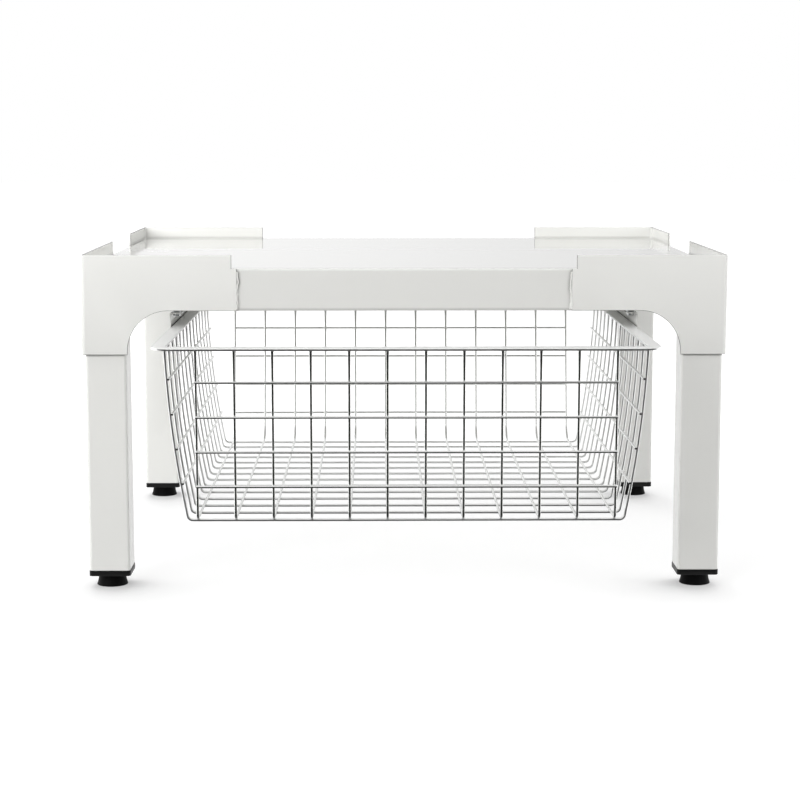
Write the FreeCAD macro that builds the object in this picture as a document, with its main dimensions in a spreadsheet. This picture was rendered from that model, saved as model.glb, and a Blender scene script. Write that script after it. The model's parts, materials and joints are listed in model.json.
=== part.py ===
"""Washing machine pedestal: a folded steel pan on four tube legs, with a pull-out wire basket.

Millimetres. X runs left to right, Y from the front to the back and Z upwards. The origin is the middle
of the platform's top face, where the machine stands. The sizes below count heights from the floor, and
each body is then set down by the height of the platform.
"""
import FreeCAD, Part
import math
import os
import re
import Sketcher

# Driving sizes, in millimetres, and counts

SIZES = {
    # Frame as a whole
    "frame_width": 630,
    "frame_depth": 540,
    "platform_height": 317,
    "lip_height": 13.2,
    # Top pan, folded from one sheet
    "pan_sheet": 1.2,
    "pan_drop": 41,
    "pan_bend": 2.6,
    "end_flange_width": 28,
    "side_flange_width": 16,
    "flange_leg_gap": 1,
    # Corner brackets, each a sheet bent round the corner
    "bracket_sheet": 2,
    "bracket_bend": 4.5,
    "bracket_drop": 84,
    "bracket_face_length": 152,
    "front_bracket_side_length": 240,
    "rear_bracket_side_length": 152,
    "lip_setback": 5,
    "arch_radius": 40,
    "gusset_width": 45,
    "bead_leg": 1.8,
    # Legs
    "leg_size": 40,
    "leg_wall": 1.5,
    "leg_corner": 3,
    # End caps and levelling feet
    "cap_rim_height": 5.5,
    "cap_overhang": 0.5,
    "cap_plug_depth": 22,
    "cap_plug_gap": 0.3,
    "foot_height": 12,
    "foot_base_radius": 15.4,
    "foot_base_edge": 1.2,
    "foot_neck_radius": 13.3,
    "foot_seat_depth": 8,
    "stud_radius": 4,
    "stud_length": 44,
    "stud_tip": 0.8,
    "thread_gap": 0.05,
    # Runners under the pan
    "runner_sheet": 1.2,
    "runner_bend": 1.8,
    "runner_height": 16.8,
    "runner_leg_gap": 41.6,
    "runner_top_flange": 12.2,
    "runner_base_flange": 10.3,
    "runner_setback": 17,
    "runner_stop_height": 8,
    "spacer_height": 3.2,
    # Runner screws
    "screw_radius": 2,
    "screw_head_radius": 3.8,
    "screw_head_height": 2.4,
    "screw_reach": 2.2,
    "screw_inset": 8,
    "screw_hole_gap": 0.2,
    "nut_height": 3.2,
    "nut_radius": 4,
    "spacer_radius": 4.4,
    # Basket rim, a frame of flat strip
    "rim_thickness": 2,
    "rim_front_strip": 20.6,
    "rim_side_strip": 12.4,
    "rim_back_strip": 13.4,
    "rim_corner": 20,
    "rim_inner_corner": 4,
    "rim_slide_gap": 0.3,
    "rim_side_gap": 1,
    "rim_stop_gap": 0.3,
    "basket_pull": 185.5,
    "basket_proud": 2,
    # Basket mesh
    "wire_radius": 1.25,
    "wire_bite": 0.3,
    "wire_margin": 1.9,
    "wire_end_overhang": 0.8,
    "side_wire_overhang": 6,
    "basket_drop": 155.3,
    "long_wire_count": 12,
    "long_wire_setback": 39.3,
    "cross_wire_count": 14,
    "cross_wire_front_setback": 31.5,
    "cross_wire_back_setback": 57.2,
    "front_foot_setback": 24.1,
    "back_foot_setback": 40.7,
    "front_wire_bend": 7,
    "back_wire_bend": 20,
    "side_wire_bend": 7,
    "side_wall_radius": 1000,
    "side_wall_crest": 45,
    "wall_wire_start": 30,
    "wall_wire_top_gap": 30.3,
    "side_wire_lift": 2.1,
    "back_wire_drop": 1.5,
    # How far every cutting outline runs past what it cuts
    "overrun": 5,
}

# Places worked out from those sizes

PLACES = {
    # Frame
    "half_width": "frame_width / 2",
    "half_depth": "frame_depth / 2",
    "pan_half_width": "half_width - bracket_sheet",
    "pan_half_depth": "half_depth - bracket_sheet",
    "skirt_bottom": "platform_height - pan_drop",
    "lip_top": "platform_height + lip_height",
    "bracket_bottom": "platform_height - bracket_drop",
    "bracket_height": "lip_height + bracket_drop",
    "leg_outer_x": "pan_half_width - pan_sheet",
    "leg_outer_y": "pan_half_depth - pan_sheet",
    "leg_inner_x": "leg_outer_x - leg_size",
    "leg_inner_y": "leg_outer_y - leg_size",
    "leg_middle_x": "leg_outer_x - leg_size / 2",
    "leg_middle_y": "leg_outer_y - leg_size / 2",
    "leg_half": "leg_size / 2",
    "leg_bottom": "foot_height + cap_rim_height",
    "leg_top": "platform_height - pan_bend",
    "leg_length": "leg_top - leg_bottom",
    # Return flanges of the pan
    "flange_end_x": "leg_inner_x - flange_leg_gap",
    "flange_end_y": "leg_inner_y - flange_leg_gap",
    "flange_root_x": "pan_half_width - pan_sheet / 2",
    "flange_root_y": "pan_half_depth - pan_sheet / 2",
    "flange_edge_x": "pan_half_width - side_flange_width",
    "flange_edge_y": "pan_half_depth - end_flange_width",
    "flange_top": "skirt_bottom + pan_sheet",
    # Bracket outline
    "bracket_face_end": "half_width - bracket_face_length",
    "bracket_face_lip_end": "bracket_face_end + lip_setback",
    "front_bracket_side_end": "half_depth - front_bracket_side_length",
    "front_bracket_side_lip_end": "front_bracket_side_end + lip_setback",
    "rear_bracket_side_end": "half_depth - rear_bracket_side_length",
    "rear_bracket_side_lip_end": "rear_bracket_side_end + lip_setback",
    "gusset_inner_x": "half_width - gusset_width",
    "gusset_inner_y": "half_depth - gusset_width",
    "bracket_inner_bend": "bracket_bend - bracket_sheet",
    "bracket_middle_x": "half_width - bracket_sheet / 2",
    "bracket_middle_y": "half_depth - bracket_sheet / 2",
    "face_bead_toe": "bracket_face_end - bead_leg",
    "front_bracket_side_bead_toe": "front_bracket_side_end - bead_leg",
    "rear_bracket_side_bead_toe": "rear_bracket_side_end - bead_leg",
    "bead_crest_x": "pan_half_width + bead_leg",
    "bead_crest_y": "pan_half_depth + bead_leg",
    "bead_foot": "skirt_bottom + bead_leg",
    "bead_height": "pan_drop - pan_bend - 2 * bead_leg",
    # Caps, feet and studs
    "cap_half_size": "leg_size / 2 + cap_overhang",
    "cap_corner": "leg_corner + cap_overhang",
    "plug_half_size": "leg_size / 2 - leg_wall - cap_plug_gap",
    "plug_corner": "leg_corner - leg_wall",
    "thread_bore_radius": "stud_radius + thread_gap",
    "stud_foot": "foot_height - foot_seat_depth + thread_gap",
    "foot_seat_floor": "foot_height - foot_seat_depth",
    "stud_top": "stud_foot + stud_length",
    "stud_shoulder": "stud_top - stud_tip",
    "stud_tip_radius": "stud_radius - stud_tip",
    # Runners and screws
    "runner_top": "skirt_bottom - spacer_height",
    "runner_base": "runner_top - runner_height",
    "runner_track": "runner_base + runner_sheet",
    "runner_top_inside": "runner_top - runner_sheet",
    "runner_web_half_spread": "leg_inner_x - runner_leg_gap",
    "runner_web_inside": "runner_web_half_spread - runner_sheet",
    "runner_top_edge": "runner_web_half_spread - runner_top_flange",
    "runner_base_edge": "runner_web_half_spread - runner_base_flange",
    "runner_front": "half_depth - runner_setback",
    "runner_length": "runner_front + pan_half_depth",
    "runner_inner_bend": "runner_bend - runner_sheet",
    "runner_middle_y": "(pan_half_depth - runner_front) / 2",
    "runner_stop_top": "runner_base + runner_stop_height",
    "runner_stop_low": "runner_base + runner_sheet / 2",
    "runner_stop_root": "runner_web_half_spread - runner_sheet / 2",
    "screw_x": "(runner_web_inside + runner_top_edge) / 2",
    "screw_y": "runner_front - screw_inset",
    "screw_pitch_x": "2 * screw_x",
    "screw_pitch_y": "2 * screw_y",
    "screw_hole_radius": "screw_radius + screw_hole_gap",
    "screw_head_bottom": "runner_top_inside - screw_head_height",
    "screw_end": "flange_top + nut_height + screw_reach",
    "nut_bore_radius": "screw_radius + thread_gap",
    "nut_half_radius": "nut_radius / 2",
    "nut_flat": "nut_radius * sqrt(3) / 2",
    # Basket rim
    "rim_bottom": "runner_track + rim_slide_gap",
    "rim_front": "-half_depth - basket_proud - basket_pull",
    "rim_back": "pan_half_depth - runner_sheet - rim_stop_gap - basket_pull",
    "rim_half_width": "runner_web_inside - rim_side_gap",
    "rim_inner_front": "rim_front + rim_front_strip",
    "rim_inner_back": "rim_back - rim_back_strip",
    "rim_inner_half_width": "rim_half_width - rim_side_strip",
    # Basket wires: y and z of the long wires' line, and x and z of the cross wires' line
    "wire_step": "2 * wire_radius - wire_bite",
    "long_wire_low": "rim_bottom - basket_drop",
    "cross_wire_low": "long_wire_low - wire_step",
    "long_wire_first_x": "long_wire_setback - rim_half_width",
    "long_wire_pitch": "-2 * long_wire_first_x / (long_wire_count - 1)",
    "cross_wire_first_y": "rim_front + cross_wire_front_setback",
    "cross_wire_last_y": "rim_back - cross_wire_back_setback",
    "cross_wire_pitch": "(cross_wire_last_y - cross_wire_first_y) / (cross_wire_count - 1)",
    "front_wall_top_y": "rim_inner_front - wire_margin",
    "front_wall_foot_y": "rim_front + front_foot_setback",
    "front_wall_run": "front_wall_foot_y - front_wall_top_y",
    "front_wall_slant": "sqrt(front_wall_run ^ 2 + basket_drop ^ 2)",
    "front_bend_reach": "front_wire_bend * (front_wall_slant - front_wall_run) / basket_drop",
    "front_bend_low_y": "front_wall_foot_y + front_bend_reach",
    "front_bend_high_y": "front_wall_foot_y - front_bend_reach * front_wall_run / front_wall_slant",
    "front_bend_high_z": "long_wire_low + front_bend_reach * basket_drop / front_wall_slant",
    "back_wall_top_y": "rim_inner_back + wire_margin",
    "back_wall_foot_y": "rim_back - back_foot_setback",
    "back_wall_run": "back_wall_top_y - back_wall_foot_y",
    "back_wall_slant": "sqrt(back_wall_run ^ 2 + basket_drop ^ 2)",
    "back_bend_reach": "back_wire_bend * (back_wall_slant - back_wall_run) / basket_drop",
    "back_bend_low_y": "back_wall_foot_y - back_bend_reach",
    "back_bend_high_y": "back_wall_foot_y + back_bend_reach * back_wall_run / back_wall_slant",
    "back_bend_high_z": "long_wire_low + back_bend_reach * basket_drop / back_wall_slant",
    "side_wall_top_x": "rim_inner_half_width + wire_margin",
    "side_arc_z": "rim_bottom + side_wall_crest",
    "side_arc_x": "side_wall_top_x - sqrt(side_wall_radius ^ 2 - side_wall_crest ^ 2)",
    "side_bend_z": "cross_wire_low + side_wire_bend",
    "side_bend_fall": "side_arc_z - side_bend_z",
    "side_bend_x": "side_arc_x + sqrt((side_wall_radius - side_wire_bend) ^ 2 - side_bend_fall ^ 2)",
    "side_bend_share": "side_wall_radius / (side_wall_radius - side_wire_bend)",
    "side_join_x": "side_arc_x + (side_bend_x - side_arc_x) * side_bend_share",
    "side_join_z": "side_arc_z - side_bend_fall * side_bend_share",
    "wall_wire_span": "2 * (wire_end_overhang - long_wire_first_x)",
    "side_wire_front_y": "cross_wire_first_y - side_wire_overhang",
    "side_wire_back_y": "cross_wire_last_y + side_wire_overhang",
    "side_wire_length": "side_wire_back_y - side_wire_front_y",
    # Ends of the cutting outlines
    "cut_bottom": "bracket_bottom - overrun",
    "cut_top": "lip_top + overrun",
    "face_cut_end": "bracket_face_end - overrun",
    "front_bracket_side_cut_end": "front_bracket_side_end - overrun",
    "rear_bracket_side_cut_end": "rear_bracket_side_end - overrun",
}

# The level wires of the basket's walls, from the lowest up: their heights, and how far out each lies

LEVELS = ("first", "second", "third", "fourth")
LEVEL_GAPS = len(LEVELS) - 1
PLACES["wall_wire_pitch"] = f"(basket_drop - wall_wire_start - wall_wire_top_gap) / {LEVEL_GAPS}"
for step, level in enumerate(LEVELS):
    PLACES[f"{level}_rise"] = f"wall_wire_start + {step} * wall_wire_pitch"
    PLACES[f"{level}_front_z"] = f"long_wire_low + {level}_rise"
    PLACES[f"{level}_front_y"] = (f"front_wall_foot_y - front_wall_run * {level}_rise / basket_drop"
                                  " - wire_step * front_wall_slant / basket_drop")
    PLACES[f"{level}_back_rise"] = f"{level}_rise - back_wire_drop"
    PLACES[f"{level}_back_z"] = f"long_wire_low + {level}_back_rise"
    PLACES[f"{level}_back_y"] = (f"back_wall_foot_y + back_wall_run * {level}_back_rise / basket_drop"
                                 " + wire_step * back_wall_slant / basket_drop")
    PLACES[f"{level}_side_z"] = f"{level}_front_z + side_wire_lift"
    PLACES[f"{level}_side_fall"] = f"side_arc_z - {level}_side_z"
    PLACES[f"{level}_side_x"] = (f"side_arc_x + sqrt(side_wall_radius ^ 2 - {level}_side_fall ^ 2)"
                                 " - wire_step")

# Two points closer than this count as one
NEAR = 1e-6

doc = FreeCAD.newDocument("washing_machine_pedestal")
sizes = doc.addObject("Spreadsheet::Sheet", "sizes")
places = doc.addObject("Spreadsheet::Sheet", "places")
parts = []


def bound(text):
    """The text of a formula with the sheet named before each size and place."""
    def full_name(word):
        if word.group() in SIZES:
            return "sizes." + word.group()
        if word.group() in PLACES:
            return "places." + word.group()
        return word.group()
    return re.sub(r"[a-z][a-z_]*", full_name, text)


def fill_sheets():
    """Write the sizes as plain numbers and the places as formulas, each under its own alias."""
    for row, (name, value) in enumerate(SIZES.items(), start=1):
        sizes.set(f"A{row}", name)
        sizes.set(f"B{row}", str(value))
        sizes.setAlias(f"B{row}", name)
    doc.recompute()
    for row, name in enumerate(PLACES, start=1):
        places.set(f"A{row}", name)
        places.setAlias(f"B{row}", name)
    for row, formula in enumerate(PLACES.values(), start=1):
        places.set(f"B{row}", "=" + bound(formula).replace("places.", ""))
    doc.recompute()


def number(name):
    """The present value of a size or place, of its negative, or of zero."""
    if name == 0:
        return 0
    if name.startswith("-"):
        return -number(name[1:])
    sheet = sizes if name in SIZES else places
    return float(sheet.get(name))


def signed(sign, name):
    """The name of a size or place on the side of the middle that sign gives."""
    return name if sign > 0 else "-" + name


def plane(body, role):
    """One of the body's own origin planes or axes."""
    return next(item for item in body.Origin.OriginFeatures if item.Role == role)


def new_body(name):
    """A body for one named piece, set down so that the platform's face is at height zero."""
    body = doc.addObject("PartDesign::Body", name)
    body.AllowCompound = True
    body.setExpression("Placement.Base.z", bound("-platform_height"))
    parts.append(body)
    return body


def new_sketch(body, role, offset=None):
    """An empty sketch on an origin plane, moved along the plane's normal by a size or place."""
    sketch = body.newObject("Sketcher::SketchObject", body.Name + "_sketch")
    sketch.AttachmentSupport = [(plane(body, role), "")]
    sketch.MapMode = "FlatFace"
    if offset:
        sketch.setExpression("AttachmentOffset.Base.z", bound(offset))
    return sketch


def fix_point(sketch, geometry, point, place):
    """Tie one point of a sketch to its two coordinates."""
    for kind, crossing_axis, name in (("DistanceX", -2, place[0]), ("DistanceY", -1, place[1])):
        if name == 0:
            sketch.addConstraint(Sketcher.Constraint("PointOnObject", geometry, point, crossing_axis))
        else:
            distance = Sketcher.Constraint(kind, -1, 1, geometry, point, number(name))
            row = sketch.addConstraint(distance)
            sketch.setExpression(f"Constraints[{row}]", bound(name))


def trace(sketch, points, arcs=(), closed=True):
    """Draw lines and arcs through named points.

    Each entry of arcs is the number of a stretch, its radius and +1 where its centre lies to the left of
    the way along it, or -1 where it lies to the right.
    """
    bends = {stretch: (radius, side) for stretch, radius, side in arcs}
    corners = [FreeCAD.Vector(number(x), number(y), 0) for x, y in points]
    count = len(points) if closed else len(points) - 1
    starts = []
    for stretch in range(count):
        first = corners[stretch]
        last = corners[(stretch + 1) % len(points)]
        if stretch in bends:
            radius, side = bends[stretch]
            chord = last - first
            left = FreeCAD.Vector(-chord.y, chord.x, 0).normalize()
            half = chord.Length / 2
            rise = number(radius) - math.sqrt(number(radius) ** 2 - half ** 2)
            middle = (first + last) / 2 - left * side * rise
            piece = sketch.addGeometry(Part.Arc(first, middle, last))
            forward = (sketch.getPoint(piece, 1) - first).Length < NEAR
            row = sketch.addConstraint(Sketcher.Constraint("Radius", piece, number(radius)))
            sketch.setExpression(f"Constraints[{row}]", bound(radius))
        else:
            piece = sketch.addGeometry(Part.LineSegment(first, last))
            forward = True
        starts.append((piece, 1 if forward else 2, 2 if forward else 1))
    for stretch, (piece, start, end) in enumerate(starts):
        fix_point(sketch, piece, start, points[stretch])
        following = starts[(stretch + 1) % len(starts)]
        if closed or stretch + 1 < len(starts):
            sketch.addConstraint(Sketcher.Constraint("Coincident", piece, end, following[0], following[1]))
        else:
            fix_point(sketch, piece, end, points[-1])


def corners_of(left, right, low, high):
    """The four corners between four named places, in order round the outline."""
    return [(left, low), (right, low), (right, high), (left, high)]


def rectangle(sketch, left, right, low, high):
    """Draw a rectangle between four named places."""
    trace(sketch, corners_of(left, right, low, high))


def about_middle(half_width, half_depth):
    """The four places of a rectangle that lies evenly about the middle."""
    return ("-" + half_width, half_width, "-" + half_depth, half_depth)


def circle(sketch, place, radius):
    """Draw a circle round a named point."""
    centre = FreeCAD.Vector(number(place[0]), number(place[1]), 0)
    piece = sketch.addGeometry(Part.Circle(centre, FreeCAD.Vector(0, 0, 1), number(radius)))
    fix_point(sketch, piece, 3, place)
    row = sketch.addConstraint(Sketcher.Constraint("Radius", piece, number(radius)))
    sketch.setExpression(f"Constraints[{row}]", bound(radius))


def pad(body, sketch, length, reverse=False, both_ways=False):
    """Raise a sketch into a solid."""
    feature = body.newObject("PartDesign::Pad", body.Name + "_pad")
    feature.Profile = sketch
    feature.setExpression("Length", bound(length))
    feature.Reversed = reverse
    feature.Midplane = both_ways
    doc.recompute()
    return feature


def cut_through(body, sketch):
    """Cut a sketch out of the whole body, both ways from its plane."""
    before = body.Shape.Volume
    feature = body.newObject("PartDesign::Pocket", body.Name + "_cut")
    feature.Profile = sketch
    feature.Type = "ThroughAll"
    feature.Midplane = True
    doc.recompute()
    if body.Shape.Volume >= before:
        raise ValueError(f"the cut in {body.Name} removes nothing")
    return feature


def cut_to(body, sketch, depth, reverse=False):
    """Cut a sketch out of the body to a depth."""
    before = body.Shape.Volume
    feature = body.newObject("PartDesign::Pocket", body.Name + "_cut")
    feature.Profile = sketch
    feature.setExpression("Length", bound(depth))
    feature.Reversed = reverse
    doc.recompute()
    if body.Shape.Volume >= before:
        raise ValueError(f"the cut in {body.Name} removes nothing")
    return feature


def spin(body, sketch):
    """Turn a sketch round the body's vertical axis."""
    feature = body.newObject("PartDesign::Revolution", body.Name + "_turned")
    feature.Profile = sketch
    feature.ReferenceAxis = (plane(body, "Z_Axis"), [""])
    doc.recompute()
    return feature


def edges_near(feature, points):
    """The names of the edges whose middles lie nearest to the given points."""
    names = []
    for point in points:
        target = FreeCAD.Vector(*[number(name) for name in point])
        gaps = [(edge.CenterOfMass - target).Length for edge in feature.Shape.Edges]
        names.append(f"Edge{gaps.index(min(gaps)) + 1}")
    return names


def upright_edges(feature, corners):
    """The names of the vertical edges that stand at the given corners in plan."""
    names = []
    for x, y in corners:
        for index, edge in enumerate(feature.Shape.Edges, start=1):
            middle = edge.CenterOfMass
            upright = abs(edge.tangentAt(edge.FirstParameter).z) > math.cos(math.radians(1))
            beside = math.hypot(middle.x - number(x), middle.y - number(y))
            if upright and beside < NEAR:
                names.append(f"Edge{index}")
    return names


def round_edges(body, feature, names, radius):
    """Round the named edges."""
    rounding = body.newObject("PartDesign::Fillet", body.Name + "_round")
    rounding.Base = (feature, names)
    rounding.setExpression("Radius", bound(radius))
    doc.recompute()
    return rounding


def rounded_block(body, floor, plan, height, radius):
    """Raise a rectangle from a level and round its upright edges."""
    outline = new_sketch(body, "XY_Plane", floor)
    rectangle(outline, *plan)
    block = pad(body, outline, height)
    return round_edges(body, block, upright_edges(block, corners_of(*plan)), radius)


def level_faces(feature):
    """The height and name of each flat level face of a feature, from the lowest up."""
    numbered = enumerate(feature.Shape.Faces, start=1)
    level = [(row, face) for row, face in numbered if face.BoundBox.ZLength < NEAR]
    return sorted((face.CenterOfMass.z, f"Face{row}") for row, face in level)


def lowest_face(feature):
    """The name of the feature's lowest level face."""
    return level_faces(feature)[0][1]


def highest_face(feature):
    """The name of the feature's highest level face."""
    return level_faces(feature)[-1][1]


def repeat(body, feature, direction, count, pitch):
    """Copy a feature, or all that the body holds so far, in a row along one of the body's axes."""
    row = body.newObject("PartDesign::LinearPattern", body.Name + "_row")
    if feature:
        row.Originals = [feature]
    else:
        row.TransformMode = "Whole shape"
    row.Direction = (plane(body, direction), [""])
    row.Mode = "Spacing"
    row.setExpression("Offset", bound(pitch))
    row.setExpression("Occurrences", bound(count))
    body.Tip = row
    doc.recompute()


def make_pan():
    """The platform: a sheet with skirts folded down all round and flanges folded in below them."""
    body = new_body("top_pan")
    outline = new_sketch(body, "XY_Plane", "skirt_bottom")
    plan = about_middle("pan_half_width", "pan_half_depth")
    rectangle(outline, *plan)
    block = pad(body, outline, "pan_drop")
    rims = edges_near(block, [(0, "-pan_half_depth", "platform_height"),
                              (0, "pan_half_depth", "platform_height"),
                              ("-pan_half_width", 0, "platform_height"),
                              ("pan_half_width", 0, "platform_height")])
    rounded = round_edges(body, block, upright_edges(block, corners_of(*plan)) + rims, "pan_bend")
    shell = body.newObject("PartDesign::Thickness", "top_pan_shell")
    shell.Base = (rounded, [lowest_face(rounded)])
    shell.setExpression("Value", bound("pan_sheet"))
    shell.Reversed = True
    doc.recompute()
    flanges = new_sketch(body, "XY_Plane", "skirt_bottom")
    rectangle(flanges, "-flange_end_x", "flange_end_x", "-flange_root_y", "-flange_edge_y")
    rectangle(flanges, "-flange_end_x", "flange_end_x", "flange_edge_y", "flange_root_y")
    rectangle(flanges, "-flange_root_x", "-flange_edge_x", "-flange_end_y", "flange_end_y")
    rectangle(flanges, "flange_edge_x", "flange_root_x", "-flange_end_y", "flange_end_y")
    pad(body, flanges, "pan_sheet")
    holes = new_sketch(body, "XY_Plane", "skirt_bottom")
    for x in ("-screw_x", "screw_x"):
        for y in ("-screw_y", "screw_y"):
            circle(holes, (x, y), "screw_hole_radius")
    cut_to(body, holes, "pan_sheet", reverse=True)


def make_bracket(name, side, end, flank):
    """A corner bracket: a lip above the platform, seams on the skirts and an arched gusset on each leg.

    The flank, front_bracket_side or rear_bracket_side, names the sizes of the half on the pedestal's side.
    """
    body = new_body(name)
    outer = (signed(side, "half_width"), signed(end, "half_depth"))
    inner = (signed(side, "pan_half_width"), signed(end, "pan_half_depth"))
    face_end = signed(side, "bracket_face_end")
    flank_end = signed(end, f"{flank}_end")
    outline = new_sketch(body, "XY_Plane", "bracket_bottom")
    trace(outline, [outer, (outer[0], flank_end), (inner[0], flank_end), inner, (face_end, inner[1]),
                    (face_end, outer[1])])
    sheet = pad(body, outline, "bracket_height")
    bent = round_edges(body, sheet, upright_edges(sheet, [outer]), "bracket_bend")
    round_edges(body, bent, upright_edges(bent, [inner]), "bracket_inner_bend")
    face_cut = signed(side, "face_cut_end")
    face_gusset = signed(side, "gusset_inner_x")
    last = open_half(body, "XZ_Plane", face_cut, face_gusset, signed(side, "bracket_face_lip_end"))
    flank_cut = signed(end, f"{flank}_cut_end")
    flank_gusset = signed(end, "gusset_inner_y")
    last = open_half(body, "YZ_Plane", flank_cut, flank_gusset, signed(end, f"{flank}_lip_end"))
    arches = edges_near(last, [(face_gusset, signed(end, "bracket_middle_y"), "skirt_bottom"),
                               (signed(side, "bracket_middle_x"), flank_gusset, "skirt_bottom")])
    round_edges(body, last, arches, "arch_radius")


def open_half(body, role, cut_end, gusset, lip_end):
    """Cut away what lies below the skirt beside a gusset, and the end of the lip."""
    opening = new_sketch(body, role)
    rectangle(opening, cut_end, gusset, "cut_bottom", "skirt_bottom")
    cut_through(body, opening)
    setback = new_sketch(body, role)
    rectangle(setback, cut_end, lip_end, "platform_height", "cut_top")
    return cut_through(body, setback)


def make_leg(name, side, end):
    """A square tube leg, open at both ends, from its end cap up to the underside of the platform."""
    body = new_body(name)
    plan = about_middle("leg_half", "leg_half")
    rounded = rounded_block(body, "leg_bottom", plan, "leg_length", "leg_corner")
    tube = body.newObject("PartDesign::Thickness", name + "_tube")
    tube.Base = (rounded, [lowest_face(rounded), highest_face(rounded)])
    tube.setExpression("Value", bound("leg_wall"))
    tube.Reversed = True
    place_at_leg(body, side, end)


def place_at_leg(body, side, end):
    """Move a body that was made round the vertical axis to the middle of a leg."""
    body.setExpression("Placement.Base.x", bound(signed(side, "leg_middle_x")))
    body.setExpression("Placement.Base.y", bound(signed(end, "leg_middle_y")))
    doc.recompute()


def make_cap(name, side, end):
    """A plastic end cap: a rim under the tube, a plug inside it and a threaded bore for the foot."""
    body = new_body(name)
    rim_plan = about_middle("cap_half_size", "cap_half_size")
    rounded_block(body, "foot_height", rim_plan, "cap_rim_height", "cap_corner")
    plug_plan = about_middle("plug_half_size", "plug_half_size")
    rounded_block(body, "leg_bottom", plug_plan, "cap_plug_depth", "plug_corner")
    bore = new_sketch(body, "XY_Plane", "foot_height")
    circle(bore, (0, 0), "thread_bore_radius")
    cut_through(body, bore)
    place_at_leg(body, side, end)


def make_foot(name, side, end):
    """A moulded foot: a cone that widens to a flat base, with a seat for the stud in its top."""
    body = new_body(name)
    profile = new_sketch(body, "XZ_Plane")
    trace(profile, [(0, 0), ("foot_base_radius", 0), ("foot_base_radius", "foot_base_edge"),
                    ("foot_neck_radius", "foot_height"), ("thread_bore_radius", "foot_height"),
                    ("thread_bore_radius", "foot_seat_floor"), (0, "foot_seat_floor")])
    spin(body, profile)
    place_at_leg(body, side, end)


def make_stud(name, side, end):
    """The threaded stud that stands in the foot and screws up through the end cap."""
    body = new_body(name)
    profile = new_sketch(body, "XZ_Plane")
    trace(profile, [(0, "stud_foot"), ("stud_radius", "stud_foot"), ("stud_radius", "stud_shoulder"),
                    ("stud_tip_radius", "stud_top"), (0, "stud_top")])
    spin(body, profile)
    place_at_leg(body, side, end)


def make_runner(name, side):
    """A channel, open towards the middle, that carries one side of the basket's rim on its lower flange."""
    body = new_body(name)
    web = signed(side, "runner_web_half_spread")
    web_inside = signed(side, "runner_web_inside")
    top_edge = signed(side, "runner_top_edge")
    base_edge = signed(side, "runner_base_edge")
    section = new_sketch(body, "XZ_Plane", "runner_front")
    trace(section, [(web, "runner_base"), (web, "runner_top"), (top_edge, "runner_top"),
                    (top_edge, "runner_top_inside"), (web_inside, "runner_top_inside"),
                    (web_inside, "runner_track"), (base_edge, "runner_track"), (base_edge, "runner_base")])
    channel = pad(body, section, "runner_length", reverse=True)
    outside = edges_near(channel, [(web, "runner_middle_y", "runner_base"),
                                   (web, "runner_middle_y", "runner_top")])
    bent = round_edges(body, channel, outside, "runner_bend")
    inside = edges_near(bent, [(web_inside, "runner_middle_y", "runner_top_inside"),
                               (web_inside, "runner_middle_y", "runner_track")])
    round_edges(body, bent, inside, "runner_inner_bend")
    stop = new_sketch(body, "XZ_Plane", "-pan_half_depth")
    rectangle(stop, signed(side, "runner_stop_root"), base_edge, "runner_stop_low", "runner_stop_top")
    pad(body, stop, "runner_sheet")
    holes = new_sketch(body, "XY_Plane", "runner_top_inside")
    circle(holes, (signed(side, "screw_x"), "-screw_y"), "screw_hole_radius")
    circle(holes, (signed(side, "screw_x"), "screw_y"), "screw_hole_radius")
    cut_to(body, holes, "runner_sheet", reverse=True)


def make_screws():
    """The screws, spacers and nuts that hang the runners from the pan's front and rear flanges."""
    screws = new_body("runner_screws")
    profile = new_sketch(screws, "XZ_Plane")
    trace(profile, [(0, "screw_head_bottom"), ("screw_head_radius", "screw_head_bottom"),
                    ("screw_head_radius", "runner_top_inside"), ("screw_radius", "runner_top_inside"),
                    ("screw_radius", "screw_end"), (0, "screw_end")])
    spread(screws, spin(screws, profile))
    spacers = new_body("runner_spacers")
    ring = new_sketch(spacers, "XY_Plane", "runner_top")
    circle(ring, (0, 0), "spacer_radius")
    circle(ring, (0, 0), "screw_hole_radius")
    spread(spacers, pad(spacers, ring, "spacer_height"))
    nuts = new_body("runner_nuts")
    hexagon = new_sketch(nuts, "XY_Plane", "flange_top")
    trace(hexagon, [("nut_radius", 0), ("nut_half_radius", "nut_flat"),
                    ("-nut_half_radius", "nut_flat"), ("-nut_radius", 0),
                    ("-nut_half_radius", "-nut_flat"), ("nut_half_radius", "-nut_flat")])
    circle(hexagon, (0, 0), "nut_bore_radius")
    spread(nuts, pad(nuts, hexagon, "nut_height"))


def spread(body, feature):
    """Put one copy of a feature at each of the four runner screw places."""
    repeat(body, feature, "X_Axis", "2", "screw_pitch_x")
    repeat(body, None, "Y_Axis", "2", "screw_pitch_y")
    body.setExpression("Placement.Base.x", bound("-screw_x"))
    body.setExpression("Placement.Base.y", bound("-screw_y"))
    doc.recompute()


def make_beads():
    """The weld beads down the seams where the bracket ends lie on the skirts, three-sided in section."""
    body = new_body("weld_beads")
    section = new_sketch(body, "XY_Plane", "bead_foot")
    for side in (-1, 1):
        for end, flank in ((-1, "front_bracket_side"), (1, "rear_bracket_side")):
            skirt_y = signed(end, "pan_half_depth")
            seam_x = signed(side, "bracket_face_end")
            trace(section, [(seam_x, skirt_y), (signed(side, "face_bead_toe"), skirt_y),
                            (seam_x, signed(end, "bead_crest_y"))])
            skirt_x = signed(side, "pan_half_width")
            seam_y = signed(end, f"{flank}_end")
            trace(section, [(skirt_x, seam_y), (skirt_x, signed(end, f"{flank}_bead_toe")),
                            (signed(side, "bead_crest_x"), seam_y)])
    pad(body, section, "bead_height")


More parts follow.
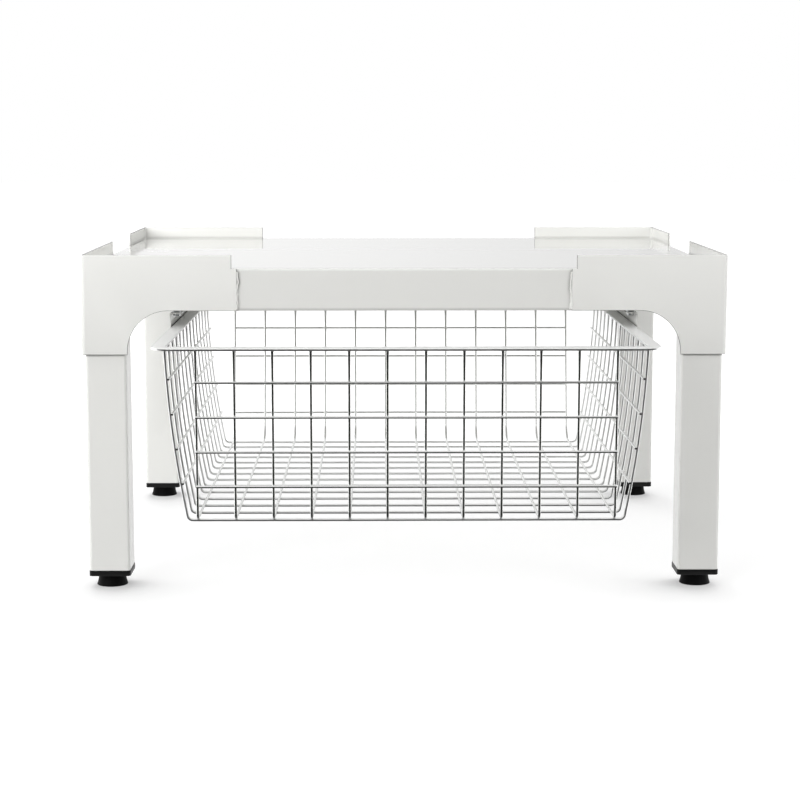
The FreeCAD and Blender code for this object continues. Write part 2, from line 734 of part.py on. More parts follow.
def make_rim():
    """The basket's rim: a frame cut from flat strip, widest at the front where it is pulled."""
    body = new_body("basket_rim")
    outer_plan = ("-rim_half_width", "rim_half_width", "rim_front", "rim_back")
    rounded_block(body, "rim_bottom", outer_plan, "rim_thickness", "rim_corner")
    opening = new_sketch(body, "XY_Plane", "rim_bottom")
    inner_plan = ("-rim_inner_half_width", "rim_inner_half_width", "rim_inner_front", "rim_inner_back")
    rectangle(opening, *inner_plan)
    cut = cut_through(body, opening)
    round_edges(body, cut, upright_edges(cut, corners_of(*inner_plan)), "rim_inner_corner")


def sweep_wire(body, path):
    """Run a round wire along a path sketch."""
    profile = body.newObject("Sketcher::SketchObject", body.Name + "_section")
    profile.AttachmentSupport = [(path, "Edge1"), (path, "Vertex1")]
    profile.MapMode = "NormalToEdge"
    doc.recompute()
    circle(profile, (0, 0), "wire_radius")
    wire = body.newObject("PartDesign::AdditivePipe", body.Name + "_wire")
    wire.Profile = profile
    wire.Spine = (path, [f"Edge{index}" for index in range(1, len(path.Shape.Edges) + 1)])
    doc.recompute()
    return wire


def make_long_wires():
    """The wires that run down the front wall, along the bottom and up the back wall."""
    body = new_body("basket_long_wires")
    path = new_sketch(body, "YZ_Plane", "long_wire_first_x")
    trace(path, [("front_wall_top_y", "rim_bottom"), ("front_bend_high_y", "front_bend_high_z"),
                 ("front_bend_low_y", "long_wire_low"), ("back_bend_low_y", "long_wire_low"),
                 ("back_bend_high_y", "back_bend_high_z"), ("back_wall_top_y", "rim_bottom")],
          arcs=[(1, "front_wire_bend", 1), (3, "back_wire_bend", 1)], closed=False)
    doc.recompute()
    wire = sweep_wire(body, path)
    repeat(body, wire, "X_Axis", "long_wire_count", "long_wire_pitch")


def make_cross_wires():
    """The wires that run down one bowed side wall, across the bottom and up the other."""
    body = new_body("basket_cross_wires")
    path = new_sketch(body, "XZ_Plane", "-cross_wire_first_y")
    trace(path, [("-side_wall_top_x", "rim_bottom"), ("-side_join_x", "side_join_z"),
                 ("-side_bend_x", "cross_wire_low"), ("side_bend_x", "cross_wire_low"),
                 ("side_join_x", "side_join_z"), ("side_wall_top_x", "rim_bottom")],
          arcs=[(0, "side_wall_radius", 1), (1, "side_wire_bend", 1), (3, "side_wire_bend", 1),
                (4, "side_wall_radius", 1)], closed=False)
    doc.recompute()
    wire = sweep_wire(body, path)
    repeat(body, wire, "Y_Axis", "cross_wire_count", "cross_wire_pitch")


def make_end_wires(name, wall):
    """The level wires across the front or back wall, welded outside the long wires."""
    body = new_body(name)
    section = new_sketch(body, "YZ_Plane")
    for level in LEVELS:
        circle(section, (f"{level}_{wall}_y", f"{level}_{wall}_z"), "wire_radius")
    pad(body, section, "wall_wire_span", both_ways=True)


def make_side_wires(name, side):
    """The level wires along a side wall, welded inside the cross wires."""
    body = new_body(name)
    section = new_sketch(body, "XZ_Plane", "-side_wire_front_y")
    for level in LEVELS:
        circle(section, (signed(side, f"{level}_side_x"), f"{level}_side_z"), "wire_radius")
    pad(body, section, "side_wire_length", reverse=True)


def check_document():
    """Stop if any object failed or any piece is empty or broken."""
    doc.recompute()
    for item in doc.Objects:
        if "Invalid" in item.State or "Error" in item.State:
            raise ValueError(f"{item.Name} failed")
    for body in parts:
        if body.Shape.isNull() or not body.Shape.isValid():
            raise ValueError(f"{body.Name} has no valid shape")


def write_parts():
    """Write each piece to a file of its own."""
    for body in parts:
        body.Shape.exportStep(f"parts/{body.Label}.step")
        box = body.Shape.BoundBox
        print(f"{body.Label}: {len(body.Shape.Solids)} solids, {body.Shape.Volume:.0f} mm3,"
              f" x {box.XMin:.1f} {box.XMax:.1f}, y {box.YMin:.1f} {box.YMax:.1f},"
              f" z {box.ZMin:.1f} {box.ZMax:.1f}")


os.makedirs("parts", exist_ok=True)
fill_sheets()
make_pan()
for side, hand in ((-1, "left"), (1, "right")):
    for end, row in ((-1, "front"), (1, "rear")):
        make_bracket(f"bracket_{row}_{hand}", side, end, f"{row}_bracket_side")
        make_leg(f"leg_{row}_{hand}", side, end)
        make_cap(f"leg_cap_{row}_{hand}", side, end)
        make_foot(f"foot_{row}_{hand}", side, end)
        make_stud(f"foot_stud_{row}_{hand}", side, end)
    make_runner(f"runner_{hand}", side)
make_screws()
make_beads()
make_rim()
make_long_wires()
make_cross_wires()
make_end_wires("basket_front_wires", "front")
make_end_wires("basket_back_wires", "back")
make_side_wires("basket_left_wires", -1)
make_side_wires("basket_right_wires", 1)
check_document()
write_parts()
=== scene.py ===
"""The looks of the washing machine pedestal: finishes, wires, welds, feet, light and camera.

Metres, in the part's own frame: X left to right, Y front to back, Z up, origin at the middle of the
platform's top face.
"""

import json
import math
import random

import bpy
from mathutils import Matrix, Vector, noise


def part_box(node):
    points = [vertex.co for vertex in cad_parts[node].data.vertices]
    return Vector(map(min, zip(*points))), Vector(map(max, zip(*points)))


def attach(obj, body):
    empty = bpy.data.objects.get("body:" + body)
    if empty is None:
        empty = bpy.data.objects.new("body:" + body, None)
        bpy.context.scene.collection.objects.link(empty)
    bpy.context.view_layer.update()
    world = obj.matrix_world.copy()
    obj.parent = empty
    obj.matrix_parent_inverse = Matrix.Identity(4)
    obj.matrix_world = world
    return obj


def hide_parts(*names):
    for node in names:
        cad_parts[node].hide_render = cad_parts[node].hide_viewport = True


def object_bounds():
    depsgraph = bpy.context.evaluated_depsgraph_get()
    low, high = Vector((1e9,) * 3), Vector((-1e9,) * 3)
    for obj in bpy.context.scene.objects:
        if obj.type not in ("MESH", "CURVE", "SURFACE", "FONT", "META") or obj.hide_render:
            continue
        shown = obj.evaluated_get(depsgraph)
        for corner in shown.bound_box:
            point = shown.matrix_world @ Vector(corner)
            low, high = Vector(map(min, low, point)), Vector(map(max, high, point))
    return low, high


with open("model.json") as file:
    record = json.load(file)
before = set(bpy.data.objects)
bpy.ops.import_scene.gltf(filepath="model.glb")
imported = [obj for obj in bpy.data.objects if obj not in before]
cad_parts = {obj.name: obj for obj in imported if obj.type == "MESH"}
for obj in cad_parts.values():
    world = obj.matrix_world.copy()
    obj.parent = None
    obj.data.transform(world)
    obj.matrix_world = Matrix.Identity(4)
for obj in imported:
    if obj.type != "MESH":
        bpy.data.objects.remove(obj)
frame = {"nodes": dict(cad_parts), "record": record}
cad_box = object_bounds()

MM = 0.001
SEED = 11
HANDS = ((-1, "left"), (1, "right"))
ROWS = ((-1, "front"), (1, "rear"))
CORNERS = [(row, hand) for _, hand in HANDS for _, row in ROWS]


# Node helpers

# The sockets of a Mix node that mixes colours.
MIX_FACTOR = 0
MIX_FIRST_COLOUR = 6
MIX_SECOND_COLOUR = 7
MIX_COLOUR_OUT = 2

# Nearly all of a noise lies between these two values.
NOISE_LOW = 0.3
NOISE_HIGH = 0.7


def new_material(name):
    """A material with an empty node tree."""
    material = bpy.data.materials.new(name)
    material.use_nodes = True
    material.node_tree.nodes.clear()
    return material, material.node_tree.nodes, material.node_tree.links


def add_node(nodes, kind, **values):
    """A node with some of its inputs or properties set."""
    node = nodes.new(kind)
    for name, value in values.items():
        label = name.replace("_", " ").title()
        if label in node.inputs:
            node.inputs[label].default_value = value
        else:
            setattr(node, name, value)
    return node


def add_noise(nodes, links, place, scale, detail):
    """Noise over the piece's own place in the part."""
    texture = add_node(nodes, "ShaderNodeTexNoise", scale=scale, detail=detail)
    links.new(place.outputs["Object"], texture.inputs["Vector"])
    return texture.outputs["Fac"]


def add_axes(nodes, links, vector):
    """A vector's three parts."""
    split = nodes.new("ShaderNodeSeparateXYZ")
    links.new(vector, split.inputs[0])
    return split.outputs


def add_range(nodes, links, source, low, high):
    """A noise spread between two numbers."""
    spread = add_node(nodes, "ShaderNodeMapRange")
    spread.inputs["From Min"].default_value = NOISE_LOW
    spread.inputs["From Max"].default_value = NOISE_HIGH
    spread.inputs["To Min"].default_value = low
    spread.inputs["To Max"].default_value = high
    links.new(source, spread.inputs["Value"])
    return spread.outputs["Result"]


def add_tint(nodes, links, source, dark, light):
    """A colour between two near shades."""
    tint = add_node(nodes, "ShaderNodeMix", data_type="RGBA")
    tint.inputs[MIX_FIRST_COLOUR].default_value = (*dark, 1)
    tint.inputs[MIX_SECOND_COLOUR].default_value = (*light, 1)
    links.new(source, tint.inputs[MIX_FACTOR])
    return tint.outputs[MIX_COLOUR_OUT]


def add_bump(nodes, links, height, depth, strength, normal=None):
    """A bump of a real depth, on top of another where one is given."""
    bump = add_node(nodes, "ShaderNodeBump", strength=strength, distance=depth)
    links.new(height, bump.inputs["Height"])
    if normal:
        links.new(normal, bump.inputs["Normal"])
    return bump.outputs["Normal"]


def add_fade(nodes, links, source, start, end, low, high):
    """A factor that eases from low to high while its source goes from start to end."""
    fade = add_node(nodes, "ShaderNodeMapRange", interpolation_type="SMOOTHSTEP")
    fade.inputs["From Min"].default_value = start
    fade.inputs["From Max"].default_value = end
    fade.inputs["To Min"].default_value = low
    fade.inputs["To Max"].default_value = high
    links.new(source, fade.inputs["Value"])
    return fade.outputs["Result"]


def add_math(nodes, links, operation, first, second=None):
    """A sum, product or the like of a source and another one or a number, or of one source alone."""
    result = add_node(nodes, "ShaderNodeMath", operation=operation)
    links.new(first, result.inputs[0])
    if isinstance(second, (int, float)):
        result.inputs[1].default_value = second
    elif second:
        links.new(second, result.inputs[1])
    return result.outputs[0]


def mix_shaders(nodes, links, factor, first, second):
    """One shader where the factor is 0 and the other where it is 1."""
    mix = nodes.new("ShaderNodeMixShader")
    links.new(factor, mix.inputs[0])
    links.new(first, mix.inputs[1])
    links.new(second, mix.inputs[2])
    return mix.outputs[0]


def finish_material(nodes, links, shader):
    """Join the shader to the output."""
    output = nodes.new("ShaderNodeOutputMaterial")
    links.new(shader, output.inputs["Surface"])


# Materials

COAT_DARK = (0.845, 0.845, 0.815)
COAT_LIGHT = (0.865, 0.865, 0.84)
PLATING_DARK = (0.86, 0.87, 0.86)
PLATING_LIGHT = (0.93, 0.93, 0.92)
BLACK_DARK = (0.002, 0.002, 0.002)
BLACK_LIGHT = (0.005, 0.005, 0.005)
ZINC_DARK = (0.5, 0.52, 0.54)
ZINC_LIGHT = (0.68, 0.69, 0.68)

# Painted shade darkens the coat in joints and crevices, strongly below the platform's top and only a little
# above it.
CREVICE_REACH = 3 * MM
JOINT_SHADE_SHARE = 0.3
SEAM_SHADE_SHARE = 0.7
TOP_SHADE_SHARE = 0.85
TOP_SHADE_FROM = -4 * MM
TOP_SHADE_ABOVE = -1 * MM

# Painted shade darkens a cut edge where it faces inward or down, and the skirts' lowest millimetres down to
# their folds.
EDGE_SHADE_SHARE = 0.08
FOLD_SHADE_SHARE = 0.72
FOLD_DARK_RISE = 0.8 * MM
FOLD_LIGHT_RISE = 3.6 * MM

# The low and high roughness, the orange peel's scale and the grain's depth of the two coats.
PANEL_COAT = (0.03, 0.05, 90, 0.001 * MM)
SHEET_COAT = (0.07, 0.11, 420, 0.003 * MM)
PEEL_DEPTH = 0.006 * MM
GRAIN_DEPTH = 0.01 * MM


def add_edge_shade(nodes, links, place):
    """A factor of painted shade that darkens the cut edges that face inward or down."""
    spot = add_axes(nodes, links, place.outputs["Object"])
    facing = add_axes(nodes, links, nodes.new("ShaderNodeNewGeometry").outputs["Normal"])
    hand = add_math(nodes, links, "SIGN", spot["X"])
    outward = add_math(nodes, links, "MULTIPLY", hand, facing["X"])
    least = add_math(nodes, links, "MINIMUM", outward, facing["Z"])
    return add_fade(nodes, links, least, start=-0.6, end=-0.1, low=EDGE_SHADE_SHARE, high=1.0)


def add_fold_shade(nodes, links, height):
    """A factor of painted shade that darkens the skirts' lowest few millimetres, down to their folds."""
    fold_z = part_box("top_pan")[0].z
    return add_fade(nodes, links, height, start=fold_z + FOLD_DARK_RISE, end=fold_z + FOLD_LIGHT_RISE,
                    low=FOLD_SHADE_SHARE, high=1.0)


def powder_coat(name, share, edge=False, pan=False, crevice_shade=JOINT_SHADE_SHARE):
    """Gloss white powder coat. The panel's peel is wide and soft, the other parts' is fine. Painted shade
    darkens the joints and crevices, strongly below the platform's top and a little above it; where asked,
    edges and skirt feet too."""
    material, nodes, links = new_material(name)
    place = nodes.new("ShaderNodeTexCoord")
    shader = add_node(nodes, "ShaderNodeBsdfPrincipled")
    dull, rough, peel_scale, grain_depth = PANEL_COAT if pan else SHEET_COAT
    cloud = add_noise(nodes, links, place, scale=6, detail=3)
    dark = [channel * share for channel in COAT_DARK]
    light = [channel * share for channel in COAT_LIGHT]
    tint = add_tint(nodes, links, cloud, dark, light)
    height = add_axes(nodes, links, place.outputs["Object"])["Z"]
    # Painted shade: ambient occlusion darkens the colour in crevices, strongly below the platform's top and
    # weakly above it.
    shade_limit = add_fade(nodes, links, height, start=TOP_SHADE_FROM, end=TOP_SHADE_ABOVE, low=crevice_shade, high=TOP_SHADE_SHARE)
    crevice = add_node(nodes, "ShaderNodeAmbientOcclusion", samples=8, distance=CREVICE_REACH)
    shade = add_math(nodes, links, "MAXIMUM", crevice.outputs["AO"], shade_limit)
    # Painted shade on the cut edges that face inward or down, and on the skirts' feet.
    if edge:
        shade = add_math(nodes, links, "MULTIPLY", shade, add_edge_shade(nodes, links, place))
    if pan:
        shade = add_math(nodes, links, "MULTIPLY", shade, add_fold_shade(nodes, links, height))
    # The tint, darkened by the painted shade.
    shaded_tint = add_node(nodes, "ShaderNodeVectorMath", operation="SCALE")
    links.new(tint, shaded_tint.inputs[0])
    links.new(shade, shaded_tint.inputs["Scale"])
    links.new(shaded_tint.outputs[0], shader.inputs["Base Color"])
    haze = add_noise(nodes, links, place, scale=45, detail=4)
    links.new(add_range(nodes, links, haze, dull, rough), shader.inputs["Roughness"])
    peel = add_noise(nodes, links, place, scale=peel_scale, detail=2)
    grain = add_noise(nodes, links, place, scale=2600, detail=1)
    fine = add_bump(nodes, links, grain, depth=grain_depth, strength=0.2)
    coarse = add_bump(nodes, links, peel, depth=PEEL_DEPTH, strength=0.3, normal=fine)
    links.new(coarse, shader.inputs["Normal"])
    finish_material(nodes, links, shader.outputs["BSDF"])
    return material


def bright_plating(name, dull, rough, metal=1.0):
    """Bright plated steel with a faint drawn texture, between two roughnesses. Its upper faces can be clouded
    by a lacquer."""
    material, nodes, links = new_material(name)
    place = nodes.new("ShaderNodeTexCoord")
    shader = add_node(nodes, "ShaderNodeBsdfPrincipled", metallic=metal)
    cloud = add_noise(nodes, links, place, scale=30, detail=3)
    links.new(add_tint(nodes, links, cloud, PLATING_DARK, PLATING_LIGHT), shader.inputs["Base Color"])
    if metal < 1:
        facing = add_axes(nodes, links, nodes.new("ShaderNodeNewGeometry").outputs["Normal"])
        clouded = add_fade(nodes, links, facing["Z"], start=0.1, end=0.6, low=1.0, high=metal)
        links.new(clouded, shader.inputs["Metallic"])
    haze = add_noise(nodes, links, place, scale=200, detail=3)
    links.new(add_range(nodes, links, haze, dull, rough), shader.inputs["Roughness"])
    drawn = add_noise(nodes, links, place, scale=1800, detail=2)
    links.new(add_bump(nodes, links, drawn, depth=GRAIN_DEPTH, strength=0.15), shader.inputs["Normal"])
    finish_material(nodes, links, shader.outputs["BSDF"])
    return material


def moulded_black(name, gloss, dull, rough):
    """Moulded black plastic or rubber with a fine grain, between two roughnesses."""
    material, nodes, links = new_material(name)
    place = nodes.new("ShaderNodeTexCoord")
    shader = add_node(nodes, "ShaderNodeBsdfPrincipled")
    cloud = add_noise(nodes, links, place, scale=60, detail=3)
    links.new(add_tint(nodes, links, cloud, BLACK_DARK, BLACK_LIGHT), shader.inputs["Base Color"])
    shader.inputs["Specular IOR Level"].default_value = gloss
    haze = add_noise(nodes, links, place, scale=300, detail=3)
    links.new(add_range(nodes, links, haze, dull, rough), shader.inputs["Roughness"])
    grain = add_noise(nodes, links, place, scale=3000, detail=2)
    links.new(add_bump(nodes, links, grain, depth=GRAIN_DEPTH, strength=0.3), shader.inputs["Normal"])
    finish_material(nodes, links, shader.outputs["BSDF"])
    return material


def zinc_steel(name, dull, rough):
    """Zinc-plated fastener steel, slightly mottled, between two roughnesses."""
    material, nodes, links = new_material(name)
    place = nodes.new("ShaderNodeTexCoord")
    shader = add_node(nodes, "ShaderNodeBsdfPrincipled", metallic=1.0)
    cloud = add_noise(nodes, links, place, scale=220, detail=4)
    links.new(add_tint(nodes, links, cloud, ZINC_DARK, ZINC_LIGHT), shader.inputs["Base Color"])
    haze = add_noise(nodes, links, place, scale=500, detail=3)
    links.new(add_range(nodes, links, haze, dull, rough), shader.inputs["Roughness"])
    grain = add_noise(nodes, links, place, scale=2400, detail=2)
    links.new(add_bump(nodes, links, grain, depth=GRAIN_DEPTH, strength=0.3), shader.inputs["Normal"])
    finish_material(nodes, links, shader.outputs["BSDF"])
    return material


MATERIALS = {
    "white_powder_coat": powder_coat("white_powder_coat", share=1.0),
    # The legs' and the pan's coats are the white coat made a little darker: for the legs partly a paint batch
    # of their own and partly painted shade, for the pan painted shade.
    "leg_coat": powder_coat("leg_coat", share=0.965),
    "pan_coat": powder_coat("pan_coat", share=0.94, pan=True),
    # The brackets' eased edges: the coat with painted shade on inward and downward faces.
    "shaded_edge_coat": powder_coat("shaded_edge_coat", share=1.0, edge=True),
    # The seams' coat takes a lighter painted shade in its crevices.
    "seam_coat": powder_coat("seam_coat", share=1.0, crevice_shade=SEAM_SHADE_SHARE),
    "bright_plating": bright_plating("bright_plating", dull=0.14, rough=0.24),
    "dull_plating": bright_plating("dull_plating", dull=0.34, rough=0.42),
    "satin_strip": bright_plating("satin_strip", dull=0.3, rough=0.38, metal=0.15),
    "black_plastic": moulded_black("black_plastic", gloss=0.2, dull=0.34, rough=0.46),
    "black_rubber": moulded_black("black_rubber", gloss=0.05, dull=0.42, rough=0.55),
    "zinc_steel": zinc_steel("zinc_steel", dull=0.25, rough=0.42),
}


# Mesh helpers

PIECE_SMOOTH_ANGLE = 40


class Build:
    """Vertices and faces of one piece."""

    def __init__(self):
        self.points = []
        self.faces = []

    def ring(self, points):
        """Add a ring of vertices and return their numbers."""
        first = len(self.points)
        self.points.extend(points)
        return list(range(first, len(self.points)))

    def bridge(self, low, high):
        """Join two rings of the same count with quads."""
        for step in range(len(low)):
            after = (step + 1) % len(low)
            self.faces.append((low[step], low[after], high[after], high[step]))

    def fan(self, ring, middle, flip=False):
        """Close a ring with triangles to a middle point."""
        centre = self.ring([middle])[0]
        for step, index in enumerate(ring):
            after = ring[(step + 1) % len(ring)]
            self.faces.append((after, index, centre) if flip else (index, after, centre))


def make_object(name, build, material):
    """Turn a build into an object of the scene."""
    mesh = bpy.data.meshes.new(name)
    mesh.from_pydata([tuple(point) for point in build.points], [], build.faces)
    mesh.validate()
    mesh.materials.append(material)
    made = bpy.data.objects.new(name, mesh)
    bpy.context.scene.collection.objects.link(made)
    return made


def make_piece(name, build, slot, body, stands_for=(), smooth_angle=PIECE_SMOOTH_ANGLE, finish=None):
    """Turn a build into a piece that rides on a body and takes a slot's finish, or one of its own."""
    piece = make_object(name, build, MATERIALS[finish or slot])
    smooth(piece, smooth_angle)
    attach(piece, body)
    if stands_for:
        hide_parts(*stands_for)
    return piece


def smooth(piece, angle):
    """Shade a piece smooth, with sharp edges above an angle in degrees."""
    mesh = piece.data
    mesh.polygons.foreach_set("use_smooth", [True] * len(mesh.polygons))
    mesh.set_sharp_from_angle(angle=math.radians(angle))


def rounded_rectangle(left, right, front, back, radius, steps):
    """The outline of a rectangle with round corners, in order round its middle."""
    outline = []
    corners = ((right - radius, front + radius, -90), (right - radius, back - radius, 0),
               (left + radius, back - radius, 90), (left + radius, front + radius, 180))
    for x, y, start in corners:
        for step in range(steps + 1):
            angle = math.radians(start + 90 * step / steps)
            outline.append((x + radius * math.cos(angle), y + radius * math.sin(angle)))
    return outline


def arc_points(centre, radius, start, end, steps):
    """Points along an arc in a plane, both ends included."""
    angles = [start + (end - start) * step / steps for step in range(steps + 1)]
    return [(centre[0] + radius * math.cos(angle), centre[1] + radius * math.sin(angle)) for angle in angles]


def bent_corner(before, corner, after, radius, steps):
    """The arc that rounds a corner between two straight runs."""
    first = (Vector(before) - Vector(corner)).normalized()
    last = (Vector(after) - Vector(corner)).normalized()
    half = first.angle(last) / 2
    middle = Vector(corner) + (first + last).normalized() * radius / math.sin(half)
    reach = radius / math.tan(half)
    start = Vector(corner) + first * reach - middle
    end = Vector(corner) + last * reach - middle
    turn = math.atan2(start.x * end.y - start.y * end.x, start.dot(end))
    begin = math.atan2(start.y, start.x)
    return arc_points(middle, radius, begin, begin + turn, steps)


def straight(start, end, steps):
    """Points along a run, without its last."""
    return [tuple(Vector(start).lerp(Vector(end), step / steps)) for step in range(steps)]


# Basket wires

WIRE_RADIUS = 1.25 * MM
WIRE_SIDES = 16
WIRE_BITE = 0.3 * MM
WIRE_STEP = 2 * WIRE_RADIUS - WIRE_BITE
LONG_WIRE_COUNT = 12
CROSS_WIRE_COUNT = 14
FRONT_BEND = 7 * MM
BACK_BEND = 20 * MM
SIDE_BEND = 5 * MM
SIDE_WALL_RADIUS = 1000 * MM
SIDE_WALL_CREST = 45 * MM
RIM_FRONT_STRIP = 20.6 * MM
RIM_SIDE_STRIP = 12.4 * MM
RIM_BACK_STRIP = 13.4 * MM
WIRE_MARGIN = 1.9 * MM
FRONT_FOOT_SETBACK = 24.1 * MM
BACK_FOOT_SETBACK = 40.7 * MM

# How many steps each stretch of a wire has.
END_WALL_STEPS = 8
SIDE_WALL_STEPS = 10
FRONT_BEND_STEPS = 8
BACK_BEND_STEPS = 12
SIDE_BEND_STEPS = 8
FLOOR_STEPS = 20
LEVEL_STEPS = 16

# The level wires are told apart by rounding heights to this.
LEVEL_GRID = 6 * MM

# A wire flares where it is welded to the rim. Its cut end narrows to a share of that, and stands out by
# two shares of the wire's radius, at its edge and in its middle.
WIRE_FLARE = 0.35 * MM
CUT_SHARE = 0.8
CUT_EDGE_SHARE = 0.12
CUT_MIDDLE_SHARE = 0.14

# Wires wander by this much, each in a way of its own that stays the same from run to run.
WANDER = 0.12 * MM
WANDER_PITCH = 9
LONG_SEED_STEP = 3.1
CROSS_SEED = 50
CROSS_SEED_STEP = 2.7
LEVEL_SEED = 90
LEVEL_SEED_STEP = 4.3
noise.seed_set(SEED)

rim_low, rim_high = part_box("basket_rim")
long_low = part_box("basket_long_wires")[0]
cross_low, cross_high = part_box("basket_cross_wires")

long_z = long_low.z + WIRE_RADIUS
cross_z = cross_low.z + WIRE_RADIUS
long_first_x = long_low.x + WIRE_RADIUS
long_pitch = -2 * long_first_x / (LONG_WIRE_COUNT - 1)
cross_first_y = cross_low.y + WIRE_RADIUS
cross_pitch = (cross_high.y - WIRE_RADIUS - cross_first_y) / (CROSS_WIRE_COUNT - 1)
long_wire_xs = [long_first_x + count * long_pitch for count in range(LONG_WIRE_COUNT)]
cross_wire_ys = [cross_first_y + count * cross_pitch for count in range(CROSS_WIRE_COUNT)]
rim_bottom = rim_low.z
front_top = (rim_low.y + RIM_FRONT_STRIP - WIRE_MARGIN, rim_bottom)
front_foot = (rim_low.y + FRONT_FOOT_SETBACK, long_z)
back_top = (rim_high.y - RIM_BACK_STRIP + WIRE_MARGIN, rim_bottom)
back_foot = (rim_high.y - BACK_FOOT_SETBACK, long_z)
side_top_x = rim_high.x - RIM_SIDE_STRIP + WIRE_MARGIN
side_arc_z = rim_bottom + SIDE_WALL_CREST
side_arc_x = side_top_x - math.sqrt(SIDE_WALL_RADIUS ** 2 - SIDE_WALL_CREST ** 2)


def tube(build, centres, across, radius=WIRE_RADIUS, sides=WIRE_SIDES, flare=0.0):
    """A round wire along points in a plane, whose normal is across, with softly cut ends."""
    lean = Vector(across)
    rings = []
    last = len(centres) - 1
    for step, centre in enumerate(centres):
        ahead = Vector(centres[min(step + 1, last)]) - Vector(centres[max(step - 1, 0)])
        up = ahead.normalized().cross(lean)
        size = radius + (flare if step in (0, last) else 0)
        ring = [Vector(centre) + (lean * math.cos(angle) + up * math.sin(angle)) * size
                for angle in (2 * math.pi * side / sides for side in range(sides))]
        rings.append(build.ring(ring))
    for low, high in zip(rings, rings[1:]):
        build.bridge(low, high)
    for ring, centre, inward in ((rings[0], centres[0], centres[1]), (rings[-1], centres[-1], centres[-2])):
        out = (Vector(centre) - Vector(inward)).normalized()
        edge_out = out * radius * CUT_EDGE_SHARE
        edge = [Vector(centre) + (Vector(build.points[index]) - Vector(centre)) * CUT_SHARE + edge_out
                for index in ring]
        lip = build.ring(edge)
        middle = Vector(centre) + out * radius * CUT_MIDDLE_SHARE
        if ring is rings[0]:
            build.bridge(lip, ring)
            build.fan(lip, middle, flip=True)
        else:
            build.bridge(ring, lip)
            build.fan(lip, middle)


def wander(points, seed):
    """Shift points a little from their line, as hand-loaded wires lie."""
    moved = []
    for point in points:
        spot = Vector(point) * WANDER_PITCH + Vector((seed, 0, 0))
        moved.append(Vector(point) + noise.noise_vector(spot) * WANDER)
    return moved


def long_wire_line():
    """Y and Z along a wire that runs down the front wall, along the bottom and up the back wall."""
    front = bent_corner(front_top, front_foot, back_foot, FRONT_BEND, FRONT_BEND_STEPS)
    back = bent_corner(front_foot, back_foot, back_top, BACK_BEND, BACK_BEND_STEPS)
    down = straight(front_top, front[0], END_WALL_STEPS)
    floor = straight(front[-1], back[0], FLOOR_STEPS)[1:]
    up = straight(back[-1], back_top, END_WALL_STEPS)[1:]
    return down + front + floor + back + up + [back_top]


def side_x(z):
    """How far out the side walls' wires lie at a height."""
    return side_arc_x + math.sqrt(SIDE_WALL_RADIUS ** 2 - (side_arc_z - z) ** 2)


def cross_wire_line():
    """X and Z along a wire that runs down one bowed side wall, across the bottom and up the other."""
    corner_z = cross_z + SIDE_BEND
    inner = SIDE_WALL_RADIUS - SIDE_BEND
    bend_x = side_arc_x + math.sqrt(inner ** 2 - (side_arc_z - corner_z) ** 2)
    join_z = side_arc_z - (side_arc_z - corner_z) * (SIDE_WALL_RADIUS / inner)
    drop = join_z - rim_bottom
    heights = [rim_bottom + drop * step / SIDE_WALL_STEPS for step in range(SIDE_WALL_STEPS + 1)]
    wall = [(side_x(z), z) for z in heights]
    turn = math.atan2(wall[-1][1] - corner_z, wall[-1][0] - bend_x)
    bend = arc_points((bend_x, corner_z), SIDE_BEND, turn, -math.pi / 2, SIDE_BEND_STEPS)
    half = wall + bend[1:]
    floor = [(bend_x * (1 - 2 * step / FLOOR_STEPS), cross_z) for step in range(1, FLOOR_STEPS)]
    return half + floor + [(-x, z) for x, z in reversed(half)]


def make_long_wires():
    """The twelve front-to-back wires."""
    build = Build()
    line = long_wire_line()
    for count, x in enumerate(long_wire_xs):
        path = wander([(x, y, z) for y, z in line], count * LONG_SEED_STEP)
        tube(build, path, (1, 0, 0), flare=WIRE_FLARE)
    return make_piece("basket_long_wires_drawn", build, "bright_plating", "basket", ["basket_long_wires"])


def make_cross_wires():
    """The fourteen wires that run from side to side."""
    build = Build()
    line = cross_wire_line()
    for count, y in enumerate(cross_wire_ys):
        path = wander([(x, y, z) for x, z in line], CROSS_SEED + count * CROSS_SEED_STEP)
        tube(build, path, (0, 1, 0), flare=WIRE_FLARE)
    return make_piece("basket_cross_wires_drawn", build, "bright_plating", "basket", ["basket_cross_wires"],
                      finish="dull_plating")


def wire_levels(node):
    """The lowest and highest corners of a wall's level wires, read from the solids' vertices."""
    spots = {}
    for vertex in frame["nodes"][node].data.vertices:
        spots.setdefault(round(vertex.co.z / LEVEL_GRID), []).append(vertex.co)
    groups = []
    for key in sorted(spots):
        if groups and key - groups[-1][0] <= 1:
            groups[-1] = (key, groups[-1][1] + spots[key])
        else:
            groups.append((key, spots[key]))
    corners = []
    for _, points in groups:
        low = Vector([min(point[axis] for point in points) for axis in range(3)])
        high = Vector([max(point[axis] for point in points) for axis in range(3)])
        corners.append((low, high))
    return corners


def make_wall_wires(wall, axis):
    """The level wires of one wall, which run along an axis."""
    node = f"basket_{wall}_wires"
    build = Build()
    for row, (low, high) in enumerate(wire_levels(node)):
        start = (low + high) / 2
        end = start.copy()
        start[axis] = low[axis]
        end[axis] = high[axis]
        path = wander(straight(start, end, LEVEL_STEPS) + [end], LEVEL_SEED + row * LEVEL_SEED_STEP)
        tube(build, path, (0, 0, 1))
    return make_piece(node + "_drawn", build, "bright_plating", "basket", [node])


# Spot welds where the wires cross

BLOB_WIDTH = 1.05 * MM
BLOB_THICKNESS = 0.7 * MM
BLOB_RINGS = 5
BLOB_SIDES = 8

# A lump's surface swells and sinks by this share, in waves of this pitch, and each lump has its own.
SWELL_SHARE = 0.16
SWELL_PITCH = 1.7
SWELL_DRIFT = 0.7


